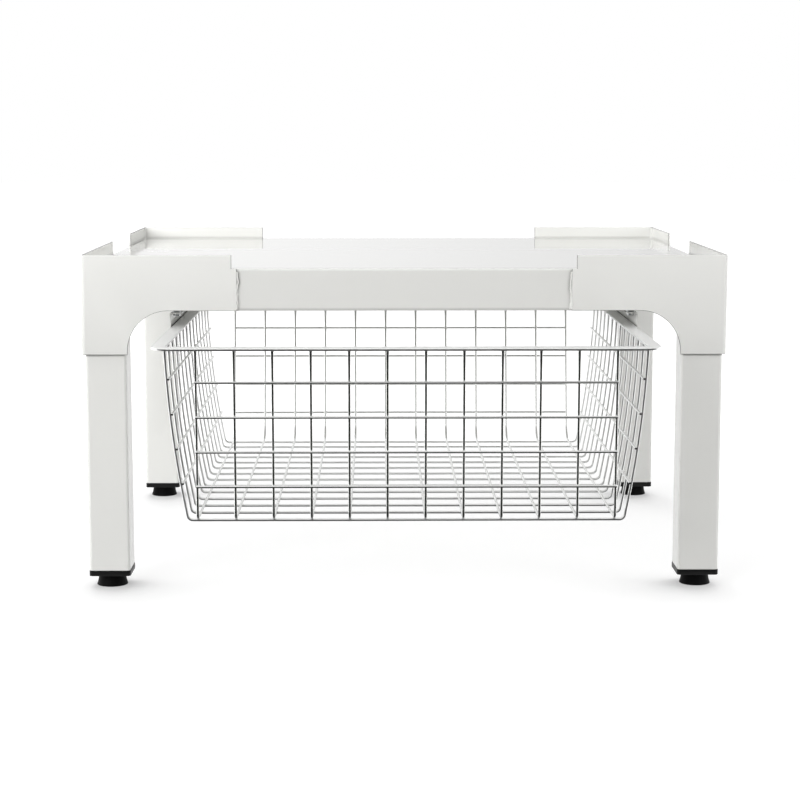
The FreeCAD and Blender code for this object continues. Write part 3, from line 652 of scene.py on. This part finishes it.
def blob(build, centre, sizes, seed):
    """A small lump of weld metal."""
    shift = Vector((seed, seed * SWELL_DRIFT, 0))
    rows = []
    for ring in range(1, BLOB_RINGS):
        polar = math.pi * ring / BLOB_RINGS
        across = math.sin(polar)
        row = []
        for side in range(BLOB_SIDES):
            turn = 2 * math.pi * side / BLOB_SIDES
            out = Vector((across * math.cos(turn), across * math.sin(turn), math.cos(polar)))
            swell = 1 + SWELL_SHARE * noise.noise(out * SWELL_PITCH + shift)
            row.append(Vector(centre) + Vector([part * size for part, size in zip(out, sizes)]) * swell)
        rows.append(build.ring(row))
    for low, high in zip(rows, rows[1:]):
        build.bridge(high, low)
    top = Vector((0, 0, sizes[2]))
    build.fan(rows[0], Vector(centre) + top)
    build.fan(rows[-1], Vector(centre) - top, flip=True)


def make_wire_welds():
    """The spot welds on the bottom and on the four walls."""
    build = Build()
    wide = BLOB_WIDTH
    thin = BLOB_THICKNESS
    seed = 0
    for x in long_wire_xs:
        for y in cross_wire_ys:
            seed += 1
            blob(build, (x, y, (long_z + cross_z) / 2), (wide, wide, thin), seed)
    for node, toward in (("basket_front_wires", 1), ("basket_back_wires", -1)):
        for low, high in wire_levels(node):
            spot = (low + high) / 2 + Vector((0, toward * WIRE_STEP / 2, 0))
            for x in long_wire_xs:
                seed += 1
                blob(build, (x, spot.y, spot.z), (wide, thin, wide), seed)
    for node, toward in (("basket_left_wires", -1), ("basket_right_wires", 1)):
        for low, high in wire_levels(node):
            spot = (low + high) / 2 + Vector((toward * WIRE_STEP / 2, 0, 0))
            for y in cross_wire_ys:
                seed += 1
                blob(build, (spot.x, y, spot.z), (thin, wide, wide), seed)
    return make_piece("basket_wire_welds", build, "bright_plating", "basket")


# Basket rim

RIM_CORNER = 20 * MM
RIM_INNER_CORNER = 4 * MM
RIM_EASE = 0.45 * MM
RIM_EASE_ANGLES = (0, 30, 60, 90)
RIM_CORNER_STEPS = 14


def make_rim():
    """The basket's rim of flat strip, with its edges eased."""
    build = Build()
    outer = (rim_low.x, rim_high.x, rim_low.y, rim_high.y)
    inner = (rim_low.x + RIM_SIDE_STRIP, rim_high.x - RIM_SIDE_STRIP, rim_low.y + RIM_FRONT_STRIP,
             rim_high.y - RIM_BACK_STRIP)

    def edge_rings(edges, corner, side, angles, z, rise):
        """The rings that ease one edge, inwards for side 1 and outwards for side -1."""
        left, right, front, back = edges
        rings = []
        for angle in angles:
            inset = side * RIM_EASE * (1 - math.cos(angle))
            height = z + rise * RIM_EASE * (1 - math.sin(angle))
            outline = rounded_rectangle(left + inset, right - inset, front + inset, back - inset,
                                        corner - inset, RIM_CORNER_STEPS)
            rings.append(build.ring([(x, y, height) for x, y in outline]))
        return rings

    opening = [math.radians(angle) for angle in RIM_EASE_ANGLES]
    closing = opening[::-1]
    rings = edge_rings(outer, RIM_CORNER, 1, closing, rim_low.z, 1)
    rings += edge_rings(outer, RIM_CORNER, 1, opening, rim_high.z, -1)
    rings += edge_rings(inner, RIM_INNER_CORNER, -1, closing, rim_high.z, -1)
    rings += edge_rings(inner, RIM_INNER_CORNER, -1, opening, rim_low.z, 1)
    for low, high in zip(rings, rings[1:] + rings[:1]):
        build.bridge(low, high)
    return make_piece("basket_rim_eased", build, "bright_plating", "basket", ["basket_rim"],
                      finish="satin_strip")


# Feet and their studs

FOOT_SIDES = 72
FOOT_EASE = 0.8 * MM
FOOT_EASE_STEPS = 3
SAME_POINT = 0.02 * MM
FOOT_NECK_RADIUS = 13.3 * MM
FOOT_STEP_WIDTH = 0.15 * MM
FOOT_STEP_HEIGHT = 9 * MM
FOOT_BORE_RADIUS = 4.05 * MM
FOOT_BORE_DEPTH = 8 * MM
FOOT_RECESS_DEPTH = 0.8 * MM
FOOT_RECESS_INSET = 4.5 * MM
FOOT_TREAD_INSET = 4 * MM
FOOT_EDGE_INSET = 0.4 * MM

# How far in and how high the cone's outline lies, from the foot's widest point up.
FOOT_CONE = ((0, 0.6 * MM), (0.7 * MM, 2.6 * MM), (1.4 * MM, 5.2 * MM))

THREAD_PITCH = 1.25 * MM
THREAD_DEPTH = 0.65 * MM
THREAD_SIDES = 32
THREAD_ROWS_PER_TURN = 8
THREAD_STEEPNESS = 1.25
THREAD_CREST = 0.12
THREAD_SMOOTH_ANGLE = 60

# How long a stud's pointed ends are, and the share of its radius that they start with.
STUD_TOP_TAPER = 2 * MM
STUD_TOP_SHARE = 0.35
STUD_FOOT_TAPER = 1 * MM
STUD_FOOT_SHARE = 0.5


def lathe(build, profile, middle):
    """Turn a profile of radius and height round a vertical axis."""
    rings = []
    angles = [2 * math.pi * side / FOOT_SIDES for side in range(FOOT_SIDES)]
    turns = [(math.cos(angle), math.sin(angle)) for angle in angles]
    for radius, z in profile:
        rings.append(build.ring([(middle.x + radius * x, middle.y + radius * y, z) for x, y in turns]))
    for low, high in zip(rings, rings[1:]):
        build.bridge(low, high)
    return rings


def eased(profile):
    """A profile with its inner corners rounded, and without points that fall together."""
    rounded = [profile[0]]
    for before, corner, after in zip(profile, profile[1:], profile[2:]):
        back = Vector(before) - Vector(corner)
        ahead = Vector(after) - Vector(corner)
        arm = min(FOOT_EASE, back.length / 2, ahead.length / 2)
        start = Vector(corner) + back.normalized() * arm
        end = Vector(corner) + ahead.normalized() * arm
        for step in range(FOOT_EASE_STEPS + 1):
            t = step / FOOT_EASE_STEPS
            rounded.append(tuple(start * (1 - t) ** 2 + Vector(corner) * 2 * t * (1 - t) + end * t ** 2))
    rounded.append(profile[-1])
    kept = [rounded[0]]
    for point in rounded[1:]:
        if (Vector(point) - Vector(kept[-1])).length > SAME_POINT:
            kept.append(point)
    return kept


def make_foot(row, hand):
    """A moulded foot: a cone that widens to a flat base, with a shallow step under its top."""
    node = f"foot_{row}_{hand}"
    low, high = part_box(node)
    middle = (low + high) / 2
    base = (high.x - low.x) / 2
    hollow_z = low.z + FOOT_RECESS_DEPTH
    bore_z = high.z - FOOT_BORE_DEPTH
    bore_tip = FOOT_BORE_RADIUS / 2
    profile = [(bore_tip, hollow_z), (base - FOOT_RECESS_INSET, hollow_z), (base - FOOT_TREAD_INSET, low.z),
               (base - FOOT_EDGE_INSET, low.z)]
    profile += [(base - inset, low.z + rise) for inset, rise in FOOT_CONE]
    profile += [(FOOT_NECK_RADIUS + FOOT_STEP_WIDTH, low.z + FOOT_STEP_HEIGHT), (FOOT_NECK_RADIUS, high.z),
                (FOOT_BORE_RADIUS, high.z), (FOOT_BORE_RADIUS, bore_z), (bore_tip, bore_z)]
    build = Build()
    rings = lathe(build, eased(profile), middle)
    build.fan(rings[0], (middle.x, middle.y, hollow_z), flip=True)
    build.fan(rings[-1], (middle.x, middle.y, bore_z))
    return make_piece(node + "_moulded", build, "black_plastic", f"levelling_foot_{row}_{hand}", [node],
                      finish="black_rubber")


def make_stud(row, hand):
    """A foot's threaded stud, with a real helical thread."""
    node = f"foot_stud_{row}_{hand}"
    low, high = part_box(node)
    middle = (low + high) / 2
    radius = (high.x - low.x) / 2
    build = Build()
    rows = int((high.z - low.z) / (THREAD_PITCH / THREAD_ROWS_PER_TURN))
    rings = []
    for step in range(rows + 1):
        z = low.z + (high.z - low.z) * step / rows
        taper = min(1, (high.z - z) / STUD_TOP_TAPER + STUD_TOP_SHARE,
                    (z - low.z) / STUD_FOOT_TAPER + STUD_FOOT_SHARE)
        ring = []
        for side in range(THREAD_SIDES):
            turn = side / THREAD_SIDES
            wave = abs(((z - low.z) / THREAD_PITCH - turn) % 1 * 2 - 1)
            cut = min(1, max(0, THREAD_STEEPNESS * wave - THREAD_CREST))
            size = (radius - THREAD_DEPTH * cut) * taper
            ring.append((middle.x + size * math.cos(2 * math.pi * turn),
                         middle.y + size * math.sin(2 * math.pi * turn), z))
        rings.append(build.ring(ring))
    for lower, upper in zip(rings, rings[1:]):
        build.bridge(lower, upper)
    build.fan(rings[0], (middle.x, middle.y, low.z), flip=True)
    build.fan(rings[-1], (middle.x, middle.y, high.z))
    return make_piece(node + "_threaded", build, "zinc_steel", f"levelling_foot_{row}_{hand}", [node],
                      THREAD_SMOOTH_ANGLE)


# Weld seams where the bracket ends lie on the skirts

SEED_SPAN = 40
SEAM_SHEET = 1.95 * MM
SEAM_LENGTH = 37 * MM
SEAM_START = 0.9 * MM
SEAM_ROWS = 60
SEAM_END_STEEPNESS = 9
SEAM_REACH = 1.5 * MM
SEAM_LEAST_REACH = 0.5 * MM
SEAM_BACK = 0.6 * MM
SEAM_DEPTH = 0.2 * MM
SEAM_CROWN = 0.55
SEAM_SMOOTH_ANGLE = 75

# The size, pitch and shift of the waves in a seam's width, in its crown and along a ridge.
SEAM_WAVES = ((1.1 * MM, 130, 0), (0.5 * MM, 420, 3))
CROWN_WAVES = ((0.35, 260, 7),)
RIDGE_WAVES = ((2.6 * MM, 75, 0), (0.6 * MM, 300, 5))

# Across a seam: a share of its reach, the rise there as a share of the sheet, and what a full crown adds.
SEAM_SHARES = ((0.3, 0.55, 0.45), (0.62, 0.2, 0.5), (0.86, 0.1, 0.16), (1.0, -0.02, 0.0))
SEAM_TOP_SHARE = 0.985
SEAM_END_SHARE = 0.03

RIDGE_RADIUS = 0.75 * MM
RIDGE_SINK_SHARE = 0.74
RIDGE_ROWS = 56
RIDGE_START = 1.5 * MM
RIDGE_LENGTH = 36.5 * MM
RIDGE_SIDES = 10


def waves(seed, z, parts):
    """An uneven value along a seam, the sum of some waves."""
    return sum(size * noise.noise(Vector((seed, z * pitch, shift))) for size, pitch, shift in parts)


def make_seams():
    """Eight seams, dressed down by hand, so that their edges wander."""
    pan_low, pan_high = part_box("top_pan")
    random.seed(SEED)
    build = Build()
    for side, hand in HANDS:
        for end, row in ROWS:
            low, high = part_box(f"bracket_{row}_{hand}")
            inner_x = high.x if side < 0 else low.x
            inner_y = high.y if end < 0 else low.y
            skirt_y = pan_low.y if end < 0 else pan_high.y
            skirt_x = pan_low.x if side < 0 else pan_high.x
            seam(build, (inner_x, skirt_y), (-side, 0), (0, end), pan_low.z, random.random() * SEED_SPAN)
            if end < 0:
                ridge(build, inner_x, low.y, pan_low.z, random.random() * SEED_SPAN)
            seam(build, (skirt_x, inner_y), (0, -end), (side, 0), pan_low.z, random.random() * SEED_SPAN)
    return make_piece("weld_seams", build, "white_powder_coat", "frame", ["weld_beads"], SEAM_SMOOTH_ANGLE,
                      finish="seam_coat")


def seam(build, corner, along, outward, bottom, seed):
    """One seam in the corner between a bracket's end and the skirt, from the skirt's foot to its bend."""

    def spot(away, out, z):
        """A point so far along the skirt and so far out from it."""
        x = corner[0] + along[0] * away + outward[0] * out
        y = corner[1] + along[1] * away + outward[1] * out
        return (x, y, z)

    top = SEAM_SHEET * SEAM_TOP_SHARE
    rings = []
    for step in range(SEAM_ROWS + 1):
        z = bottom + SEAM_START + SEAM_LENGTH * step / SEAM_ROWS
        fade = min(1, min(step, SEAM_ROWS - step) / SEAM_ROWS * SEAM_END_STEEPNESS)
        lift = SEAM_SHEET * (fade * (1 - SEAM_END_SHARE) + SEAM_END_SHARE)
        reach = max(SEAM_LEAST_REACH, SEAM_REACH + waves(seed, z, SEAM_WAVES))
        crown = (SEAM_CROWN + waves(seed, z, CROWN_WAVES)) * fade
        ring = [spot(-SEAM_BACK, top, z), spot(0, top, z)]
        for share, rise, swell in SEAM_SHARES:
            ring.append(spot(reach * share, lift * (rise + swell * crown), z))
        ring.append(spot(-SEAM_BACK, -SEAM_DEPTH, z))
        rings.append(build.ring(ring))
    turned = along[0] * outward[1] - along[1] * outward[0] < 0
    for low, high in zip(rings, rings[1:]):
        if turned:
            build.bridge(low, high)
        else:
            build.bridge(high, low)
    first = rings[0] if turned else rings[0][::-1]
    final = rings[-1][::-1] if turned else rings[-1]
    build.faces.append(tuple(first[::-1]))
    build.faces.append(tuple(final[::-1]))


def ridge(build, x, y, bottom, seed):
    """The thin wavy line of weld metal that stands just proud of a front bracket's face."""
    path = []
    for step in range(RIDGE_ROWS + 1):
        z = bottom + RIDGE_START + RIDGE_LENGTH * step / RIDGE_ROWS
        path.append((x + waves(seed, z, RIDGE_WAVES), y + RIDGE_RADIUS * RIDGE_SINK_SHARE, z))
    tube(build, path, (0, -1, 0), radius=RIDGE_RADIUS, sides=RIDGE_SIDES)


# Folded sheet and tube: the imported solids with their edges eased

FRAME_SMOOTH_ANGLE = 30
SAME_VERTEX = 0.01 * MM
FLAT_ANGLE = 0.5
EDGE_ANGLE = 40
EASE_SEGMENTS = 3
RUNNER_EASE = 0.25 * MM
BRACKET_EASE = 0.55 * MM
CAP_EASE = 0.6 * MM


def ease_edges(node, width):
    """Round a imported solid's hard edges with modifiers and leave its flat faces flat."""
    piece = frame["nodes"][node]
    weld = piece.modifiers.new("weld", "WELD")
    weld.merge_threshold = SAME_VERTEX
    flat = piece.modifiers.new("flat", "DECIMATE")
    flat.decimate_type = "DISSOLVE"
    flat.angle_limit = math.radians(FLAT_ANGLE)
    bevel = piece.modifiers.new("ease", "BEVEL")
    bevel.width = width
    bevel.segments = EASE_SEGMENTS
    bevel.limit_method = "ANGLE"
    bevel.angle_limit = math.radians(EDGE_ANGLE)
    bevel.harden_normals = True
    bevel.use_clamp_overlap = True
    return piece


def dress_frame():
    """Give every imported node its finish, and the runners, brackets and caps their eased edges."""
    slots = {row["node"]: row["material_slot"] for row in frame["record"]["subparts"]}
    coats = {f"leg_{row}_{hand}": "leg_coat" for row, hand in CORNERS}
    coats["top_pan"] = "pan_coat"
    for name, piece in frame["nodes"].items():
        piece.data.materials.clear()
        piece.data.materials.append(MATERIALS[coats.get(name, slots[name])])
        smooth(piece, FRAME_SMOOTH_ANGLE)
    for _, hand in HANDS:
        ease_edges(f"runner_{hand}", RUNNER_EASE)
    for row, hand in CORNERS:
        ease_edges(f"leg_cap_{row}_{hand}", CAP_EASE)
        bracket = ease_edges(f"bracket_{row}_{hand}", BRACKET_EASE)
        # The eased edges take the coat with painted shade on their inward and downward faces.
        bracket.data.materials.append(MATERIALS["shaded_edge_coat"])
        bracket.modifiers["ease"].material = len(bracket.data.materials) - 1


# Floor, world and cards

WHITE = (1, 1, 1, 1)
FLOOR_REACH = 14.0
FLOOR_MATT = (0.6, 0.6, 0.6, 1)
FLOOR_THIN = (0.4, 0.4, 0.4, 1)
DARK_ROOM = 0.03
SHADOW_REACH = 130 * MM
SHADOW_SHARE = 0.5
NEAR_GLOW = 0.74

# The shadows at the feet fall forward and inward, as of light from behind and from outside.
SHADOW_OUTWARD = 1.6
SHADOW_BACK = 0.8
SHADOW_UP = 0.6

FRONT_GLOW = 0.46
LEFT_ROOM_GLOW = 1.02
RIGHT_ROOM_GLOW = 0.8

CARD_X = 0.38
CARD_FRONT = -0.45
CARD_BACK = 0.9
CARD_TOP = 0.2
CARD_CLEARANCE = 1 * MM
CARD_FRONT_BOOST = 1.9
LEFT_CARD_GLOW = 1.0
RIGHT_CARD_GLOW = 0.8


def make_floor():
    """A white floor with a soft shadow at the feet, painted into its glow by ambient occlusion. In metal it
    is a white sheet under the stand that ends below the basket's front. From below one looks through it."""
    material, nodes, links = new_material("floor")
    place = nodes.new("ShaderNodeTexCoord")
    path = nodes.new("ShaderNodeLightPath")
    spot = add_axes(nodes, links, place.outputs["Object"])
    away = add_node(nodes, "ShaderNodeVectorMath", operation="LENGTH")
    links.new(place.outputs["Object"], away.inputs[0])
    matt = add_node(nodes, "ShaderNodeBsdfDiffuse", color=FLOOR_MATT)
    thin = add_node(nodes, "ShaderNodeBsdfDiffuse", color=FLOOR_THIN)
    lean = add_node(nodes, "ShaderNodeCombineXYZ", y=SHADOW_BACK, z=SHADOW_UP)
    links.new(add_math(nodes, links, "MULTIPLY", spot["X"], SHADOW_OUTWARD), lean.inputs["X"])
    lightward = add_node(nodes, "ShaderNodeVectorMath", operation="NORMALIZE")
    links.new(lean.outputs[0], lightward.inputs[0])
    # Painted shadow: ambient occlusion, leaned back and outward, darkens the floor's glow at the feet.
    contact = add_node(nodes, "ShaderNodeAmbientOcclusion", samples=12, distance=SHADOW_REACH)
    links.new(lightward.outputs[0], contact.inputs["Normal"])
    near = add_fade(nodes, links, contact.outputs["AO"], start=0.5, end=1.0, low=SHADOW_SHARE, high=1.0)
    far = add_fade(nodes, links, away.outputs["Value"], start=0.5, end=1.1, low=NEAR_GLOW, high=1.0)
    glow = nodes.new("ShaderNodeEmission")
    links.new(add_math(nodes, links, "MULTIPLY", near, far), glow.inputs["Strength"])
    seen = nodes.new("ShaderNodeAddShader")
    links.new(thin.outputs[0], seen.inputs[0])
    links.new(glow.outputs[0], seen.inputs[1])
    beside = add_math(nodes, links, "ABSOLUTE", spot["X"])
    across = add_fade(nodes, links, beside, start=0.5, end=0.7, low=1.0, high=0.0)
    behind = add_fade(nodes, links, spot["Y"], start=-0.42, end=-0.26, low=0.0, high=1.0)
    under = add_math(nodes, links, "MULTIPLY", across, behind)
    sheet = nodes.new("ShaderNodeEmission")
    links.new(add_math(nodes, links, "MAXIMUM", under, DARK_ROOM), sheet.inputs["Strength"])
    in_metal = mix_shaders(nodes, links, path.outputs["Is Glossy Ray"], matt.outputs[0], sheet.outputs[0])
    shown = mix_shaders(nodes, links, path.outputs["Is Camera Ray"], in_metal, seen.outputs[0])
    below = nodes.new("ShaderNodeNewGeometry").outputs["Backfacing"]
    looked_through = add_math(nodes, links, "MULTIPLY", below, path.outputs["Is Camera Ray"])
    clear = nodes.new("ShaderNodeBsdfTransparent")
    finish_material(nodes, links, mix_shaders(nodes, links, looked_through, shown, clear.outputs[0]))
    build = Build()
    floor_z = cad_box[0].z
    corners = ((-FLOOR_REACH, -FLOOR_REACH), (FLOOR_REACH, -FLOOR_REACH), (FLOOR_REACH, FLOOR_REACH),
               (-FLOOR_REACH, FLOOR_REACH))
    build.faces.append(tuple(build.ring([(x, y, floor_z) for x, y in corners])))
    floor = make_object("floor", build, material)


def make_world():
    """White for the camera and a soft fill from the front for matt surfaces. Metal sees a white room above
    and behind the stand, and a dark one in front and beside it."""
    world = bpy.data.worlds.new("studio")
    bpy.context.scene.world = world
    world.use_nodes = True
    nodes = world.node_tree.nodes
    links = world.node_tree.links
    nodes.clear()
    place = nodes.new("ShaderNodeTexCoord")
    toward = add_axes(nodes, links, place.outputs["Generated"])
    above = add_fade(nodes, links, toward["Z"], start=0.16, end=0.42, low=DARK_ROOM, high=1.0)
    behind = add_fade(nodes, links, toward["Y"], start=0.35, end=0.75, low=DARK_ROOM, high=1.0)
    sideways = add_fade(nodes, links, toward["X"], start=-0.1, end=0.2, low=LEFT_ROOM_GLOW,
                        high=RIGHT_ROOM_GLOW)
    room_glow = add_math(nodes, links, "MAXIMUM", above, behind)
    reflected = add_node(nodes, "ShaderNodeBackground", color=WHITE)
    links.new(add_math(nodes, links, "MULTIPLY", room_glow, sideways), reflected.inputs["Strength"])
    frontward = add_math(nodes, links, "MULTIPLY", toward["Y"], -FRONT_GLOW)
    fill = add_node(nodes, "ShaderNodeBackground", color=WHITE)
    links.new(add_math(nodes, links, "MAXIMUM", frontward, 0.0), fill.inputs["Strength"])
    white = add_node(nodes, "ShaderNodeBackground", color=WHITE, strength=1.0)
    path = nodes.new("ShaderNodeLightPath").outputs
    room = mix_shaders(nodes, links, path["Is Glossy Ray"], fill.outputs[0], reflected.outputs[0])
    clear = add_math(nodes, links, "MAXIMUM", path["Is Camera Ray"], path["Is Transmission Ray"])
    output = nodes.new("ShaderNodeOutputWorld")
    links.new(mix_shaders(nodes, links, clear, room, white.outputs[0]), output.inputs["Surface"])


def make_cards():
    """White cards beside the stand, which only metal and gloss reflect."""
    low_z = cad_box[0].z + CARD_CLEARANCE
    corners = ((CARD_FRONT, low_z), (CARD_BACK, low_z), (CARD_BACK, CARD_TOP), (CARD_FRONT, CARD_TOP))
    for (side, hand), strength in zip(HANDS, (LEFT_CARD_GLOW, RIGHT_CARD_GLOW)):
        material, nodes, links = new_material(f"card_{hand}")
        place = nodes.new("ShaderNodeTexCoord")
        depth = add_axes(nodes, links, place.outputs["Object"])["Y"]
        glow = nodes.new("ShaderNodeEmission")
        brightness = add_fade(nodes, links, depth, start=-0.15, end=0.05, low=CARD_FRONT_BOOST * strength,
                              high=strength)
        links.new(brightness, glow.inputs["Strength"])
        finish_material(nodes, links, glow.outputs[0])
        build = Build()
        build.faces.append(tuple(build.ring([(side * CARD_X, y, z) for y, z in corners])))
        card = make_object(f"card_{hand}", build, material)
        card.visible_camera = False
        card.visible_diffuse = False
        card.visible_transmission = False
        card.visible_shadow = False


# Lamps and camera

# Each soft box's name, place, the point it is aimed at, its size and its power. The last two are small and
# open up the rear corners.
LAMPS = (
    ("left_box", (-3.8, -1.0, 0.9), (0, -0.1, -0.15), 3.0, 60),
    ("overhead_box", (-0.4, -0.1, 1.9), (0, 0, 0), 1.8, 18),
    ("front_left_box", (-1.5, -2.4, 1.0), (0, -0.1, -0.15), 1.5, 38),
    ("right_box", (2.2, -0.9, 0.5), (0, 0, -0.15), 1.5, 20.3),
    ("back_box", (-0.5, 2.4, 0.55), (0, 0.1, -0.2), 1.1, 22),
    ("rear_left_box", (-0.8, -0.1, 0.12), (-0.7, 0.9, -0.2), 0.3, 1.6),
    ("rear_right_box", (0.8, -0.1, 0.06), (0.25, 0.25, -0.1), 0.3, 0.75),
)

# The photograph's viewpoint: the camera's place, how far it looks down and to the right, and its lens.
CAMERA_PLACE = (-0.0253, -2.2213, 0.1375)
CAMERA_PITCH = 7.767
CAMERA_YAW = 0.618
CAMERA_LENS = 90.47
CAMERA_SENSOR = 36


def make_lamps():
    """The soft square lamps, which neither the camera nor metal sees."""
    for name, place, target, size, power in LAMPS:
        light = bpy.data.lights.new(name, "AREA")
        light.shape = "SQUARE"
        light.size = size
        light.energy = power
        lamp = bpy.data.objects.new(name, light)
        bpy.context.scene.collection.objects.link(lamp)
        lamp.location = place
        lamp.rotation_euler = (Vector(target) - Vector(place)).to_track_quat("-Z", "Y").to_euler()
        lamp.visible_camera = False
        lamp.visible_glossy = False


def make_camera():
    """The photograph's camera."""
    camera = bpy.data.cameras.new("camera")
    camera.sensor_width = CAMERA_SENSOR
    camera.lens = CAMERA_LENS
    viewer = bpy.data.objects.new("camera", camera)
    bpy.context.scene.collection.objects.link(viewer)
    viewer.location = CAMERA_PLACE
    viewer.rotation_euler = (math.pi / 2 - math.radians(CAMERA_PITCH), 0, -math.radians(CAMERA_YAW))
    bpy.context.scene.camera = viewer


dress_frame()
make_rim()
make_long_wires()
make_cross_wires()
make_wall_wires("front", 0)
make_wall_wires("back", 0)
make_wall_wires("left", 1)
make_wall_wires("right", 1)
make_wire_welds()
for row, hand in CORNERS:
    make_foot(row, hand)
for row, hand in CORNERS:
    make_stud(row, hand)
make_seams()
make_floor()
make_world()
make_cards()
make_lamps()
make_camera()
bpy.context.scene.view_settings.view_transform = "Standard"
